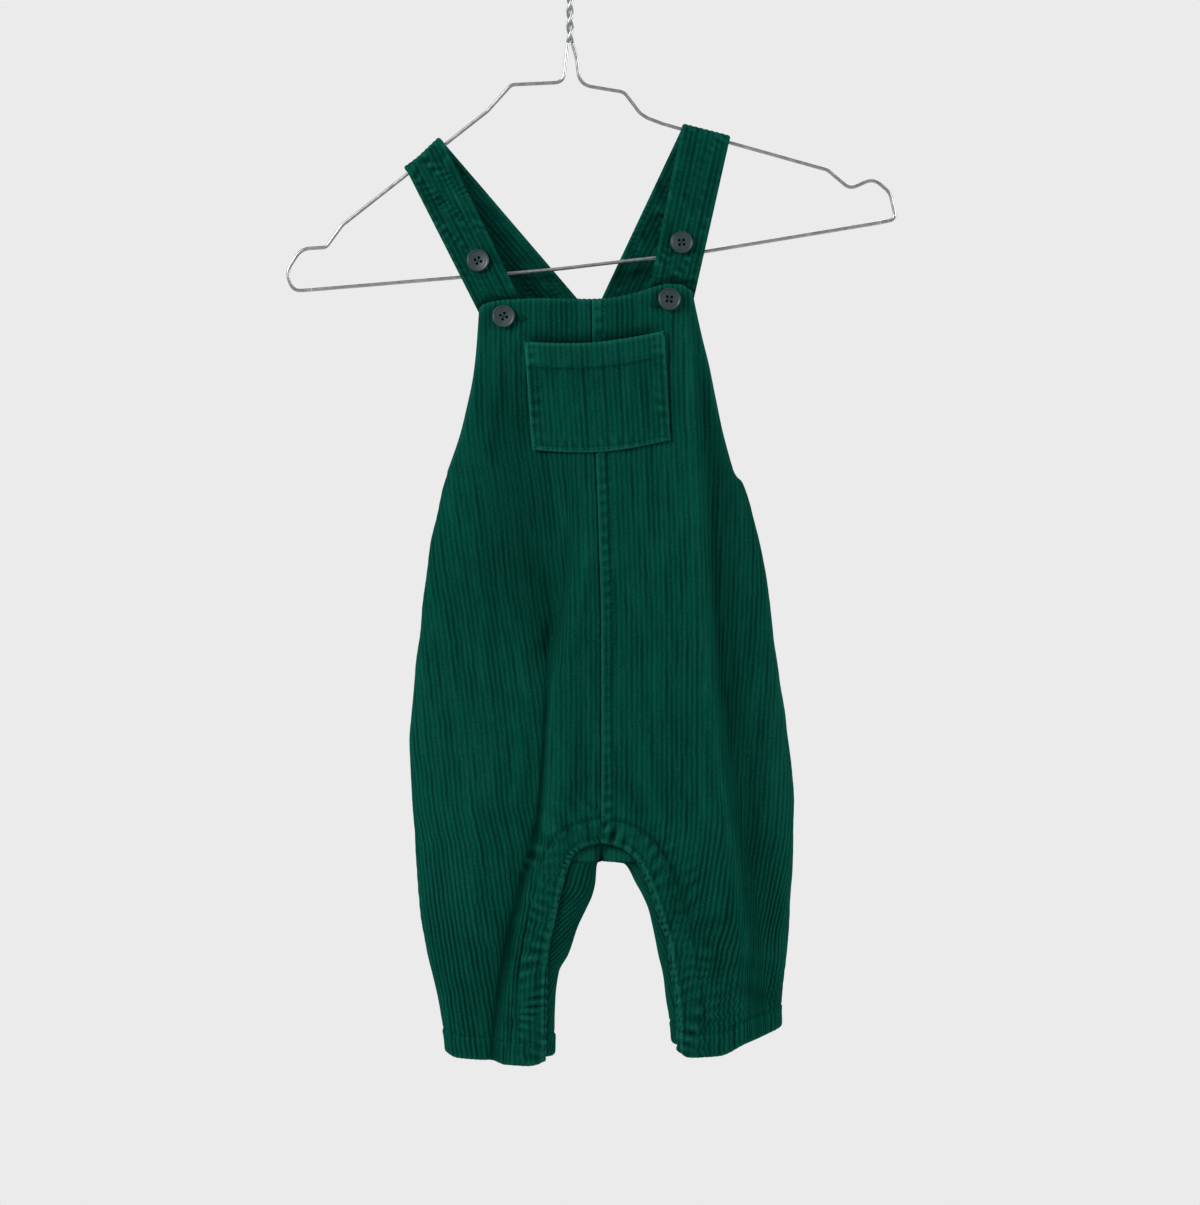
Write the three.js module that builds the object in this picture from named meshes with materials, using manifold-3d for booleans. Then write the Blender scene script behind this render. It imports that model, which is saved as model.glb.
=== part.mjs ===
// A small child's corduroy bib overalls, hanging from a bent-wire hanger.
// Sizes are millimetres, Z is up and the front faces -Y. Left and right are the wearer's, so left is +X.
// The origin is the underside of the hook's crown, where a rail carries the hanger.
// Heights are given as a drop below that point, so z is minus the drop.
import * as THREE from "three";
import { mergeVertices } from "three/addons/utils/BufferGeometryUtils.js";
import Module from "manifold-3d";

const wasm = await Module();
wasm.setup();

// Cloth and seams
const CLOTH = 2; // one layer of wide-wale corduroy
const SEAM_GAP = 0.3; // clear space at every seam
const LAP = CLOTH + 2 * SEAM_GAP; // how far the lapped front edge stands off the back
const LAP_WIDTH = 7; // how far the back reaches under the front along the inseam
const LAP_HOLD = LAP_WIDTH + 3; // the front keeps to its full stand-off this far from its edge
const LAP_RISE = 20; // beyond that, the front climbs onto the lap over this distance
const SEATING_GAP = SEAM_GAP + 0.1; // behind the patch pocket and behind the buttons

// Levels, as drops below the origin
const BIB_TOP = 277;
const BACK_TOP = 336;
const UNDERARM = 398;
const CLEFT_TOP = 563; // below this the two legs start to part at the back
const ARCH_TOP = 641; // top of the front's arched crotch edge
const SADDLE = 652.7; // lowest point of the crotch
const BAND_TOP = 633; // top of the crotch strip, behind the front
const BAND_OUT = 645; // above this the crotch strip keeps clear of the back
const LEG_BLEND = 60; // below the saddle, the sections settle to the middle of the leg over this distance
const HEM = 785;

// Outer edges of the body and legs, seen from the front
const OUTLINE = [
  { drop: 266, right: -60.0, left: 81.0 },
  { drop: 284, right: -61.0, left: 84.5 },
  { drop: 304, right: -62.3, left: 89.0 },
  { drop: 324, right: -64.3, left: 93.8 },
  { drop: 344, right: -67.7, left: 97.8 },
  { drop: 365, right: -72.4, left: 102.5 },
  { drop: 385, right: -79.0, left: 108.5 },
  { drop: 394, right: -82.4, left: 112.0 },
  { drop: 400, right: -84.6, left: 116.5 },
  { drop: 425, right: -90.5, left: 124.0 },
  { drop: 445, right: -95.0, left: 129.3 },
  { drop: 465, right: -97.2, left: 132.7 },
  { drop: 505, right: -101.8, left: 137.4 },
  { drop: 545, right: -106.0, left: 143.4 },
  { drop: 576, right: -108.2, left: 147.5 },
  { drop: 606, right: -106.6, left: 150.6 },
  { drop: 646, right: -104.0, left: 150.2 },
  { drop: 686, right: -101.2, left: 148.0 },
  { drop: 706, right: -97.8, left: 146.7 },
  { drop: 726, right: -93.8, left: 144.7 },
  { drop: 746, right: -89.2, left: 142.8 },
  { drop: 767, right: -85.2, left: 142.4 },
  { drop: 792, right: -83.0, left: 142.0 },
];

// Inner sides of the two legs, below the saddle
const INNER_SIDE = [
  { drop: 652.7, right: 21.0, left: 21.0 },
  { drop: 653.4, right: 18.6, left: 34.0 },
  { drop: 654.5, right: 18.0, left: 36.6 },
  { drop: 657, right: 17.4, left: 39.0 },
  { drop: 667, right: 16.6, left: 43.8 },
  { drop: 676, right: 14.6, left: 49.0 },
  { drop: 686, right: 10.2, left: 53.2 },
  { drop: 697, right: 5.0, left: 55.8 },
  { drop: 716, right: -1.6, left: 59.8 },
  { drop: 728, right: -7.8, left: 62.6 },
  { drop: 746, right: -10.2, left: 65.0 },
  { drop: 767, right: -10.8, left: 68.2 },
  { drop: 792, right: -11.0, left: 70.2 },
];

// Centre seam, front and back
const CENTRE = [
  { drop: 266, x: 14.5 },
  { drop: 340, x: 15.4 },
  { drop: 380, x: 17.2 },
  { drop: 440, x: 19.4 },
  { drop: 505, x: 21.0 },
  { drop: 652.7, x: 21.0 },
];

// How far the front and the back stand off the plane of the hanger
const DEPTH = [
  { drop: 266, front: 20, back: 15 },
  { drop: 340, front: 21, back: 16 },
  { drop: 395, front: 22, back: 20 },
  { drop: 450, front: 25, back: 24 },
  { drop: 520, front: 27, back: 27 },
  { drop: 600, front: 28, back: 29 },
  { drop: 650, front: 27, back: 28 },
  { drop: 690, front: 25, back: 25 },
  { drop: 730, front: 21, back: 22 },
  { drop: 792, front: 18, back: 19 },
];

// How far round towards the side the bib reaches, as the angle left over at its edge
const ARMHOLE_TURN = [
  { drop: 266, degrees: 52 },
  { drop: 340, degrees: 50 },
  { drop: 370, degrees: 42 },
  { drop: 386, degrees: 27 },
  { drop: 398, degrees: 0 },
];

// Where the inner side of each leg lies, in front of the hanger's plane
const INNER_FORWARD = [
  { drop: 652.7, forward: 14 },
  { drop: 690, forward: 9 },
  { drop: 792, forward: 2 },
];

// The front's free edge, up one inseam and down the other
const ARCH_EDGE = [
  { drop: 641, right: 21.0, left: 21.0 },
  { drop: 642, right: 14.0, left: 29.0 },
  { drop: 644, right: 7.5, left: 35.0 },
  { drop: 648, right: 2.4, left: 41.0 },
  { drop: 654, right: -0.8, left: 46.0 },
  { drop: 664, right: -3.8, left: 51.5 },
  { drop: 678, right: -7.4, left: 57.0 },
  { drop: 694, right: -11.0, left: 62.0 },
  { drop: 708, right: -14.2, left: 66.0 },
  { drop: 728, right: -16.4, left: 69.0 },
  { drop: 748, right: -17.1, left: 71.8 },
  { drop: 792, right: -17.8, left: 74.6 },
];

// Top edge of the bib and of the back, and the hems, by x
const BIB_EDGE = [
  { x: -61, drop: 283.5 },
  { x: -57, drop: 280.5 },
  { x: -45, drop: 278.2 },
  { x: -20, drop: 277.0 },
  { x: 15, drop: 277.5 },
  { x: 30, drop: 276.4 },
  { x: 46, drop: 272.8 },
  { x: 58, drop: 269.2 },
  { x: 67, drop: 267.4 },
  { x: 76, drop: 267.6 },
  { x: 82, drop: 271.5 },
];
const BACK_EDGE = [
  { x: -85, drop: 398 },
  { x: -72, drop: 388 },
  { x: -50, drop: 361 },
  { x: -24, drop: 339 },
  { x: -8, drop: 336 },
  { x: 50, drop: 336 },
  { x: 68, drop: 340 },
  { x: 88, drop: 363 },
  { x: 104, drop: 388 },
  { x: 115, drop: 398 },
];
const HEM_EDGE = [
  { x: -85, front: 781, back: 781 },
  { x: -76, front: 785, back: 784 },
  { x: -50, front: 787, back: 786 },
  { x: -44, front: 789.5, back: 786 },
  { x: -28, front: 790, back: 785 },
  { x: -10, front: 786, back: 784 },
  { x: 68, front: 780, back: 776 },
  { x: 80, front: 784.5, back: 778 },
  { x: 100, front: 783.5, back: 777 },
  { x: 118, front: 775, back: 773 },
  { x: 142, front: 765, back: 765 },
];

// Large soft folds. Height is towards the viewer on the front and away from the viewer on the back;
// a negative height is a trough. Each runs between two levels and may bow sideways at its middle.
const FRONT_FOLDS = [
  { name: "left ridge", top: 320, topX: 80, bottom: 690, bottomX: 106, bow: -6, width: 8, height: 5.5 },
  { name: "left trough", top: 330, topX: 90, bottom: 700, bottomX: 118, bow: -6, width: 9, height: -6 },
  { name: "left hip swell", top: 470, topX: 52, bottom: 760, bottomX: 92, bow: -6, width: 16, height: 4 },
  { name: "right trough", top: 440, topX: -10, bottom: 770, bottomX: -46, bow: 9, width: 10, height: -7 },
  { name: "right ridge", top: 470, topX: 4, bottom: 648, bottomX: -4, bow: 1, width: 9, height: 3.5 },
  { name: "right side hollow", top: 350, topX: -40, bottom: 640, bottomX: -60, bow: 4, width: 16, height: -3.5 },
  { name: "right thigh swell", top: 560, topX: -66, bottom: 790, bottomX: -66, bow: 0, width: 15, height: 3 },
  { name: "right hem pleat", top: 690, topX: -32, bottom: 830, bottomX: -50, bow: 2, width: 6, height: -5 },
  { name: "left knee trough", top: 660, topX: 76, bottom: 770, bottomX: 112, bow: 5, width: 8, height: -3.5 },
  { name: "left hem swell", top: 700, topX: 124, bottom: 830, bottomX: 122, bow: 4, width: 9, height: 2.5 },
];
const BACK_FOLDS = [
  { name: "left seat trough", top: 400, topX: 74, bottom: 690, bottomX: 92, bow: 5, width: 11, height: -5.5 },
  { name: "left seat ridge", top: 420, topX: 54, bottom: 660, bottomX: 62, bow: 4, width: 11, height: 4.5 },
  { name: "right seat trough", top: 420, topX: -30, bottom: 700, bottomX: -50, bow: -6, width: 12, height: -6 },
  { name: "right seat ridge", top: 440, topX: -12, bottom: 650, bottomX: -20, bow: -3, width: 10, height: 4 },
  { name: "left calf trough", top: 660, topX: 112, bottom: 820, bottomX: 100, bow: 5, width: 9, height: -4 },
  { name: "right calf trough", top: 670, topX: -30, bottom: 830, bottomX: -40, bow: -4, width: 8, height: -4 },
];

// Chest pocket: its corners, and how far its top and bottom edges sag between them
const POCKET = {
  topRight: { x: -30.5, drop: 306.0 },
  topLeft: { x: 63.0, drop: 298.6 },
  bottomRight: { x: -25.0, drop: 378.2 },
  bottomLeft: { x: 67.0, drop: 371.6 },
  topSag: 4.2,
  bottomSag: 4.6,
  hem: 16.5, // the turned top is stitched down this far below the mouth
  hemRise: 0.8,
};

// Shoulder straps, two layers thick. Each row is an edge of the strap: its lower end behind the bib,
// where it crosses the wire, and its lower end inside the back.
const STRAP = { thickness: 3, gap: SEAM_GAP, rest: 0.15, endDrop: 357, crossingTop: 276 };
const STRAPS = {
  right: {
    outer: { frontX: -53.6, frontDrop: 301.0, wireX: -109.2, wireDrop: 191.1, backX: 37.4 },
    inner: { frontX: -20.0, frontDrop: 304.5, wireX: -85.1, wireDrop: 170.7, backX: 75.0 },
    layer: 0,
  },
  left: {
    outer: { frontX: 78.0, frontDrop: 299.0, wireX: 106.9, wireDrop: 170.7, backX: 14.0 },
    inner: { frontX: 48.4, frontDrop: 294.0, wireX: 74.7, wireDrop: 162.1, backX: -17.6 },
    layer: 1,
  },
};

// Four-hole buttons
const BUTTON = { radius: 7.5, thickness: 2.6, rim: 1.3, dish: 0.6, holeRadius: 0.85, holeSpacing: 1.5 };
const BUTTONS = [
  { name: "button_bib_right", x: -44.2, drop: 288.9, on: "bib", turn: 25 },
  { name: "button_bib_left", x: 66.3, drop: 277.5, on: "bib", turn: 0 },
  { name: "button_strap_right", x: -61.2, drop: 251.4, on: "right", turn: 20 },
  { name: "button_strap_left", x: 74.4, drop: 239.3, on: "left", turn: 10 },
];

// Hanger wire. Each row is a corner of the wire's centre line with the radius it is bent to.
const WIRE_RADIUS = 1.2;
const ARM_RIGHT = [
  { x: -1.5, drop: 104, bend: 0 },
  { x: -3.2, drop: 118, bend: 30 },
  { x: -4.6, drop: 130.4, bend: 10 },
  { x: -39.6, drop: 132.0, bend: 6 },
  { x: -55.4, drop: 149.6, bend: 14 },
  { x: -153.4, drop: 226.6, bend: 8 },
  { x: -164.2, drop: 241.4, bend: 5 },
  { x: -181, drop: 242.4, bend: 12 },
  { x: -191, drop: 258, bend: 12 },
  { x: -186.2, drop: 270.8, bend: 8 },
  { x: -174, drop: 269.9, bend: 0 },
];
const ARM_LEFT = [
  { x: 1.5, drop: 104, bend: 0 },
  { x: 4.4, drop: 114, bend: 30 },
  { x: 6.4, drop: 132, bend: 11 },
  { x: 36.4, drop: 137, bend: 8 },
  { x: 48.6, drop: 153.2, bend: 20 },
  { x: 62.6, drop: 158.4, bend: 20 },
  { x: 173.2, drop: 189.4, bend: 8 },
  { x: 188.2, drop: 202.0, bend: 7 },
  { x: 204, drop: 195.0, bend: 10 },
  { x: 215.2, drop: 204.6, bend: 12 },
  { x: 219.2, drop: 222.4, bend: 6 },
  { x: 209, drop: 224.6, bend: 0 },
];
const BAR = [
  { x: -173.7, drop: 269.9, bend: 0 },
  { x: -8.4, drop: 256.0, bend: 300 },
  { x: 89.8, drop: 244.4, bend: 300 },
  { x: 208.7, drop: 224.7, bend: 0 },
];
const TWIST = { bottom: 103.5, top: 68, turns: 1.75, strandOffset: WIRE_RADIUS + 0.15 };
const HOOK = { radius: 22, startAngle: -52, endAngle: 202, stemDrop: 62 };

const FINISHES = {
  corduroy: { color: 0x063d31, metalness: 0, roughness: 0.9 },
  button: { color: 0x4a5c5f, metalness: 0, roughness: 0.35 },
  wire: { color: 0x9a9c9b, metalness: 1, roughness: 0.3 },
};

// Section shape: 2 would be an ellipse, and more is squarer
const SQUARENESS = 2.6;

// How finely each piece is divided
const PANEL_COLUMNS = { across: 13, underlap: 4 };
const PANEL_ROWS = { open: 14, edges: 9, crotch: 4.4, upperEdge: 310, lowerEdge: 760, crotchFrom: 618, crotchTo: 668 };
const POCKET_CELLS = { across: 14, down: 9 };
const BAND_COLUMNS = 7; // on each side of the seam
const BAND_LEVELS = [BAND_TOP, 637, 641, 644.5, 647.5, 650, SADDLE - SEAM_GAP];
const STRAP_CELLS = { across: 4, front: 11, wrap: 8, back: 20 };
const WIRE_SIDES = 8;

const clamp = (value, low, high) => Math.min(high, Math.max(low, value));
const mix = (a, b, t) => a + (b - a) * t;
const smooth = (t) => {
  const s = clamp(t, 0, 1);
  return s * s * (3 - 2 * s);
};
const signedPower = (value, power) => Math.sign(value) * Math.abs(value) ** power;

// A smooth curve without overshoot through one column of a table.
function curveOf(rows, column, along = "drop") {
  const at = rows.map((row) => row[along]);
  const values = rows.map((row) => row[column]);
  const last = rows.length - 1;
  const chords = at.slice(1).map((x, i) => (values[i + 1] - values[i]) / (x - at[i]));
  const slopes = at.map((_, i) => {
    if (i === 0 || i === last) return chords[i === 0 ? 0 : last - 1];
    const [before, after] = [chords[i - 1], chords[i]];
    return before * after <= 0 ? 0 : (2 * before * after) / (before + after);
  });
  return (x) => {
    if (x <= at[0]) return values[0];
    if (x >= at[last]) return values[last];
    const i = at.findIndex((edge) => edge > x) - 1;
    const step = at[i + 1] - at[i];
    const t = (x - at[i]) / step;
    const rise = values[i + 1] - values[i];
    return (
      values[i] + t * t * (3 - 2 * t) * rise +
      step * t * (1 - t) * ((1 - t) * slopes[i] - t * slopes[i + 1])
    );
  };
}

const outerSide = { "-1": curveOf(OUTLINE, "right"), 1: curveOf(OUTLINE, "left") };
const innerSide = { "-1": curveOf(INNER_SIDE, "right"), 1: curveOf(INNER_SIDE, "left") };
const archEdge = { "-1": curveOf(ARCH_EDGE, "right"), 1: curveOf(ARCH_EDGE, "left") };
const centreX = curveOf(CENTRE, "x");
const frontDepth = curveOf(DEPTH, "front");
const backDepth = curveOf(DEPTH, "back");
const armholeTurn = curveOf(ARMHOLE_TURN, "degrees");
const innerForward = curveOf(INNER_FORWARD, "forward");
const bibEdge = curveOf(BIB_EDGE, "drop", "x");
const backEdge = curveOf(BACK_EDGE, "drop", "x");
const hemEdge = { front: curveOf(HEM_EDGE, "front", "x"), back: curveOf(HEM_EDGE, "back", "x") };

// One half's level section is a closed ring of two half superellipses that meet at its centre. Above the
// cleft it is centred on the centre seam, which cuts it there; below, the centre moves out until each leg
// is a ring of its own.
function ringAt(half, drop, onFront) {
  const edge = outerSide[half](onFront ? drop : Math.max(drop, UNDERARM));
  const seam = centreX(drop);
  const middle = (edge + seam) / 2;
  let centre = mix(seam, middle, smooth((drop - CLEFT_TOP) / (SADDLE - CLEFT_TOP)));
  if (drop > SADDLE)
    centre = mix(middle, (edge + innerSide[half](drop)) / 2, smooth((drop - SADDLE) / LEG_BLEND));
  const turn = onFront && drop < UNDERARM ? THREE.MathUtils.degToRad(armholeTurn(drop)) : 0;
  const outward = Math.abs(edge - centre) / Math.cos(turn) ** (2 / SQUARENESS);
  const inward = drop > SADDLE ? Math.abs(centre - innerSide[half](drop)) : outward;
  return { centre, outward, inward, turn, seam };
}

// Sum of the soft folds that cross a point of the front or back.
function foldHeight(folds, x, drop) {
  let height = 0;
  for (const fold of folds) {
    const along = (drop - fold.top) / (fold.bottom - fold.top);
    if (along <= 0 || along >= 1) continue;
    const middle = mix(fold.topX, fold.bottomX, along) + fold.bow * Math.sin(Math.PI * along);
    const across = (x - middle) / fold.width;
    height += fold.height * Math.sin(Math.PI * along) ** 0.8 * Math.exp(-across * across);
  }
  return height;
}

// Distance from a point of the front view to the front's arched edge.
function distanceToArch(x, drop) {
  let nearest = Infinity;
  for (const half of [-1, 1])
    for (let level = Math.max(ARCH_TOP, drop - 40); level <= Math.max(ARCH_TOP, drop + 40); level += 1)
      nearest = Math.min(nearest, Math.hypot(x - archEdge[half](level), drop - level));
  return nearest;
}

// Keeps a point of the body on its own side of the centre seam.
function clearOfSeam(point, half, drop) {
  if (drop > SADDLE + 4) return point;
  const seam = centreX(drop);
  const clearance = SEAM_GAP / 2;
  if ((point.x - seam) * half < clearance) point.x = seam + half * clearance;
  return point;
}

// A point of the garment's outer face. The angle starts at the outer side; it is positive round the front
// and negative round the back, and a back that passes the inner side goes on below minus 180 degrees.
function clothPoint(half, angle, drop, panel) {
  const onFrontFace = Math.sin(angle) > 0;
  const ring = ringAt(half, drop, panel === "front");
  const [c, s] = [Math.cos(angle), Math.sin(angle)];
  const across = signedPower(c, 2 / SQUARENESS);
  const rise = Math.abs(s) ** (2 / SQUARENESS);
  const depth = onFrontFace ? frontDepth(drop) : backDepth(drop);
  const reach = across < 0 ? ring.inward : ring.outward;
  let x = ring.centre + half * reach * across;
  const inward = Math.max(0, -across);
  let standOff = depth * rise;
  standOff += rise * foldHeight(onFrontFace ? FRONT_FOLDS : BACK_FOLDS, x, drop);
  let y = (onFrontFace ? -1 : 1) * standOff - innerForward(drop) * inward ** 2;
  if (panel === "front" && drop > ARCH_TOP - LAP_HOLD - LAP_RISE) {
    const lap = LAP * (1 - smooth((distanceToArch(x, drop) - LAP_HOLD) / LAP_RISE));
    const nx = (half * signedPower(across, SQUARENESS - 1)) / reach;
    const ny = rise ** (SQUARENESS - 1) / depth;
    const length = Math.hypot(nx, ny) || 1;
    x += (lap * nx) / length;
    y -= (lap * ny) / length;
  }
  return new THREE.Vector3(x, y, -drop);
}

// The direction square to the outer face. The section's shape changes at the saddle, so the slope is
// taken from one side of it only.
function clothNormal(half, angle, drop, panel) {
  const step = 0.01;
  const atSaddle = Math.abs(drop - SADDLE) < 1;
  const above = atSaddle ? Number(drop <= SADDLE) : 0.6;
  const below = atSaddle ? Number(drop > SADDLE) : 0.6;
  const around = clothPoint(half, angle + step, drop, panel).sub(clothPoint(half, angle - step, drop, panel));
  const down = clothPoint(half, angle, drop + below, panel).sub(clothPoint(half, angle, drop - above, panel));
  return around.cross(down).multiplyScalar(half).normalize();
}

// The two faces of the cloth at one place: a point of the outer one and the point below it on the inner.
function clothFaces(half, angle, drop, panel, isLevelEdge = false) {
  const outer = clothPoint(half, angle, drop, panel);
  const normal = clothNormal(half, angle, drop, panel);
  if (isLevelEdge) normal.setZ(0).normalize();
  const inner = outer.clone().addScaledVector(normal, -CLOTH);
  return { outer: clearOfSeam(outer, half, drop), inner: clearOfSeam(inner, half, drop) };
}

// Angle on a half's section where it meets a given x, on its front.
function angleAt(half, drop, x, onFront = true) {
  const ring = ringAt(half, drop, onFront);
  const offset = (x - ring.centre) * half;
  const across = clamp(offset / (offset < 0 ? ring.inward : ring.outward), -1, 1);
  return Math.acos(signedPower(across, SQUARENESS / 2));
}

// Angles at the inner and the outer end of a panel, at one level.
function panelEnds(half, drop, panel) {
  if (panel === "front") {
    const inner = drop < ARCH_TOP ? centreX(drop) : archEdge[half](drop);
    return [angleAt(half, drop, inner), ringAt(half, drop, true).turn];
  }
  return [drop <= SADDLE ? -angleAt(half, drop, centreX(drop), false) : -Math.PI, 0];
}

// Angles of the back's part that turns round the inner side and reaches under the front.
function underlapEnds(half, drop) {
  return [angleAt(half, drop, archEdge[half](drop) + half * LAP_WIDTH, false) - 2 * Math.PI, -Math.PI];
}

// The angle at a share of the way along a section, measured along the cloth.
function angleAlong(half, drop, panel, [from, to], share) {
  const steps = 60;
  const lengths = [0];
  let before = clothPoint(half, from, drop, panel);
  for (let i = 1; i <= steps; i++) {
    const point = clothPoint(half, mix(from, to, i / steps), drop, panel);
    lengths.push(lengths[i - 1] + point.distanceTo(before));
    before = point;
  }
  const total = lengths[steps];
  const wanted = mix(0, total - SEAM_GAP / 2, share);
  const i = clamp(lengths.findIndex((length) => length >= wanted) - 1, 0, steps - 1);
  const within = (wanted - lengths[i]) / (lengths[i + 1] - lengths[i]);
  return mix(from, to, (i + within) / steps);
}

// The drop of a panel's row at a place across it: rows follow the top edge at the top and the hem below.
function rowDrop(half, panel, level, share) {
  const ring = ringAt(half, level, panel === "front");
  const edge = outerSide[half](panel === "front" ? level : Math.max(level, UNDERARM));
  const inner = level > ARCH_TOP ? archEdge[half](level) : ring.seam;
  const x = mix(inner, edge, share);
  const topLevel = panel === "front" ? BIB_TOP : BACK_TOP;
  const topEdge = panel === "front" ? bibEdge(x) : backEdge(x);
  const topFade = 1 - smooth((level - topLevel) / (panel === "front" ? 50 : 150));
  const hemFade = smooth((level - SADDLE - 12) / (HEM - SADDLE - 12));
  return level + (topEdge - topLevel) * topFade + (hemEdge[panel](x) - HEM) * hemFade;
}

// Closes a sheet of outer points and a sheet of inner points into one wall. A place left empty has no
// cloth: every edge that only one cell uses is closed from one sheet to the other.
function wallGeometry(outer, inner) {
  const columns = outer[0].length;
  const layerSize = outer.length * columns;
  const corner = new Map();
  const flat = [];
  const at = (layer, i, j) => {
    const key = layer * layerSize + i * columns + j;
    if (!corner.has(key)) {
      const point = (layer === 0 ? outer : inner)[i][j];
      corner.set(key, flat.length / 3);
      flat.push(point.x, point.y, point.z);
    }
    return corner.get(key);
  };
  const index = [];
  const edges = new Map();
  for (let i = 0; i < outer.length - 1; i++)
    for (let j = 0; j < columns - 1; j++) {
      const cell = [[i, j], [i + 1, j], [i + 1, j + 1], [i, j + 1]];
      if (cell.some(([row, column]) => !outer[row][column])) continue;
      const [a, b, c, d] = cell.map(([row, column]) => at(0, row, column));
      const [e, f, g, h] = cell.map(([row, column]) => at(1, row, column));
      index.push(a, b, c, a, c, d, e, g, f, e, h, g);
      cell.forEach((from, side) => {
        const to = cell[(side + 1) % 4];
        const back = `${to}|${from}`;
        if (edges.has(back)) edges.delete(back);
        else edges.set(`${from}|${to}`, [from, to]);
      });
    }
  for (const [from, to] of edges.values()) {
    const [a, b] = [at(0, ...from), at(0, ...to)];
    const [c, d] = [at(1, ...to), at(1, ...from)];
    index.push(b, a, c, a, d, c);
  }
  const geometry = new THREE.BufferGeometry();
  geometry.setAttribute("position", new THREE.BufferAttribute(new Float32Array(flat), 3));
  geometry.setIndex(index);
  return geometry;
}

// Turns a geometry's faces round if they point inwards.
function facingOut(geometry) {
  const position = geometry.attributes.position;
  const index = geometry.index.array;
  const [a, b, c] = [new THREE.Vector3(), new THREE.Vector3(), new THREE.Vector3()];
  let volume = 0;
  for (let i = 0; i < index.length; i += 3) {
    a.fromBufferAttribute(position, index[i]);
    b.fromBufferAttribute(position, index[i + 1]);
    c.fromBufferAttribute(position, index[i + 2]);
    volume += a.dot(b.cross(c));
  }
  if (volume < 0)
    for (let i = 0; i < index.length; i += 3) [index[i + 1], index[i + 2]] = [index[i + 2], index[i + 1]];
  return geometry;
}

// Levels of a panel's rows, closer together round the crotch and the hem, with one row at the saddle.
function levelsBetween(top, bottom) {
  const levels = [];
  for (let level = top; level < bottom - 1; ) {
    levels.push(level);
    const before = level;
    if (level >= PANEL_ROWS.crotchFrom && level < PANEL_ROWS.crotchTo) level += PANEL_ROWS.crotch;
    else level += level < PANEL_ROWS.upperEdge || level > PANEL_ROWS.lowerEdge ? PANEL_ROWS.edges : PANEL_ROWS.open;
    if (before < SADDLE && level > SADDLE - 2) level = SADDLE;
  }
  return [...levels, bottom];
}

// A front or back half, from the bib's or the back's top edge down to the hem. Below the saddle the back
// has more columns, which turn round the inner side of the leg and reach under the front; at the saddle
// they start a hair's breadth below it, where the leg's own section begins.
function bodyPanel(half, panel) {
  const columns = PANEL_COLUMNS.across;
  const underlapColumns = panel === "back" ? PANEL_COLUMNS.underlap : 0;
  const legStart = SADDLE + 1e-6;
  const levels = levelsBetween(panel === "front" ? BIB_TOP : BACK_TOP, HEM);
  const sheets = { outer: [], inner: [] };
  for (const level of levels) {
    const isLevelEdge = level === levels[0] || level === HEM || (panel === "back" && level === SADDLE);
    const rows = { outer: [], inner: [] };
    for (let j = -underlapColumns; j <= columns; j++) {
      const share = j < 0 ? 0 : j / columns;
      const drop = j < 0 && level === SADDLE ? legStart : rowDrop(half, panel, level, share);
      if (j < 0 && level < SADDLE) {
        rows.outer.push(null);
        rows.inner.push(null);
        continue;
      }
      const ends = j < 0 ? underlapEnds(half, drop) : panelEnds(half, drop, panel);
      const angle = angleAlong(half, drop, panel, ends, j < 0 ? 1 + j / underlapColumns : share);
      const faces = clothFaces(half, angle, drop, panel, isLevelEdge);
      rows.outer.push(faces.outer);
      rows.inner.push(faces.inner);
    }
    sheets.outer.push(rows.outer);
    sheets.inner.push(rows.inner);
  }
  return facingOut(wallGeometry(sheets.outer, sheets.inner));
}

// The outer face and its normal at a place of the front view.
function frontFace(x, drop) {
  const half = x < centreX(drop) ? -1 : 1;
  const angle = angleAt(half, drop, x);
  return {
    point: clothPoint(half, angle, drop, "front"),
    normal: clothNormal(half, angle, drop, "front"),
  };
}

function backFace(x, drop) {
  const half = x < centreX(drop) ? -1 : 1;
  const angle = -angleAt(half, drop, x, false);
  return {
    point: clothPoint(half, angle, drop, "back"),
    normal: clothNormal(half, angle, drop, "back"),
  };
}

// Patch pocket on the bib, made from the bib's own points moved out.
function chestPocket() {
  const { across: columns, down: rows } = POCKET_CELLS;
  const outer = [];
  const inner = [];
  for (let i = 0; i <= rows; i++) {
    const down = i / rows;
    const outerRow = [];
    const innerRow = [];
    for (let j = 0; j <= columns; j++) {
      const across = j / columns;
      const topX = mix(POCKET.topRight.x, POCKET.topLeft.x, across);
      const bottomX = mix(POCKET.bottomRight.x, POCKET.bottomLeft.x, across);
      const bulge = Math.sin(Math.PI * across);
      const top = mix(POCKET.topRight.drop, POCKET.topLeft.drop, across) + POCKET.topSag * bulge;
      const bottom = mix(POCKET.bottomRight.drop, POCKET.bottomLeft.drop, across) + POCKET.bottomSag * bulge;
      const drop = mix(top, bottom, down);
      const face = frontFace(mix(topX, bottomX, down), drop);
      const rise = drop - top < POCKET.hem ? POCKET.hemRise : 0;
      const normal = face.normal.setZ(0).normalize();
      innerRow.push(face.point.clone().addScaledVector(normal, SEATING_GAP));
      outerRow.push(face.point.clone().addScaledVector(normal, SEATING_GAP + CLOTH + rise));
    }
    outer.push(outerRow);
    inner.push(innerRow);
  }
  return facingOut(wallGeometry(outer, inner));
}

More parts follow.
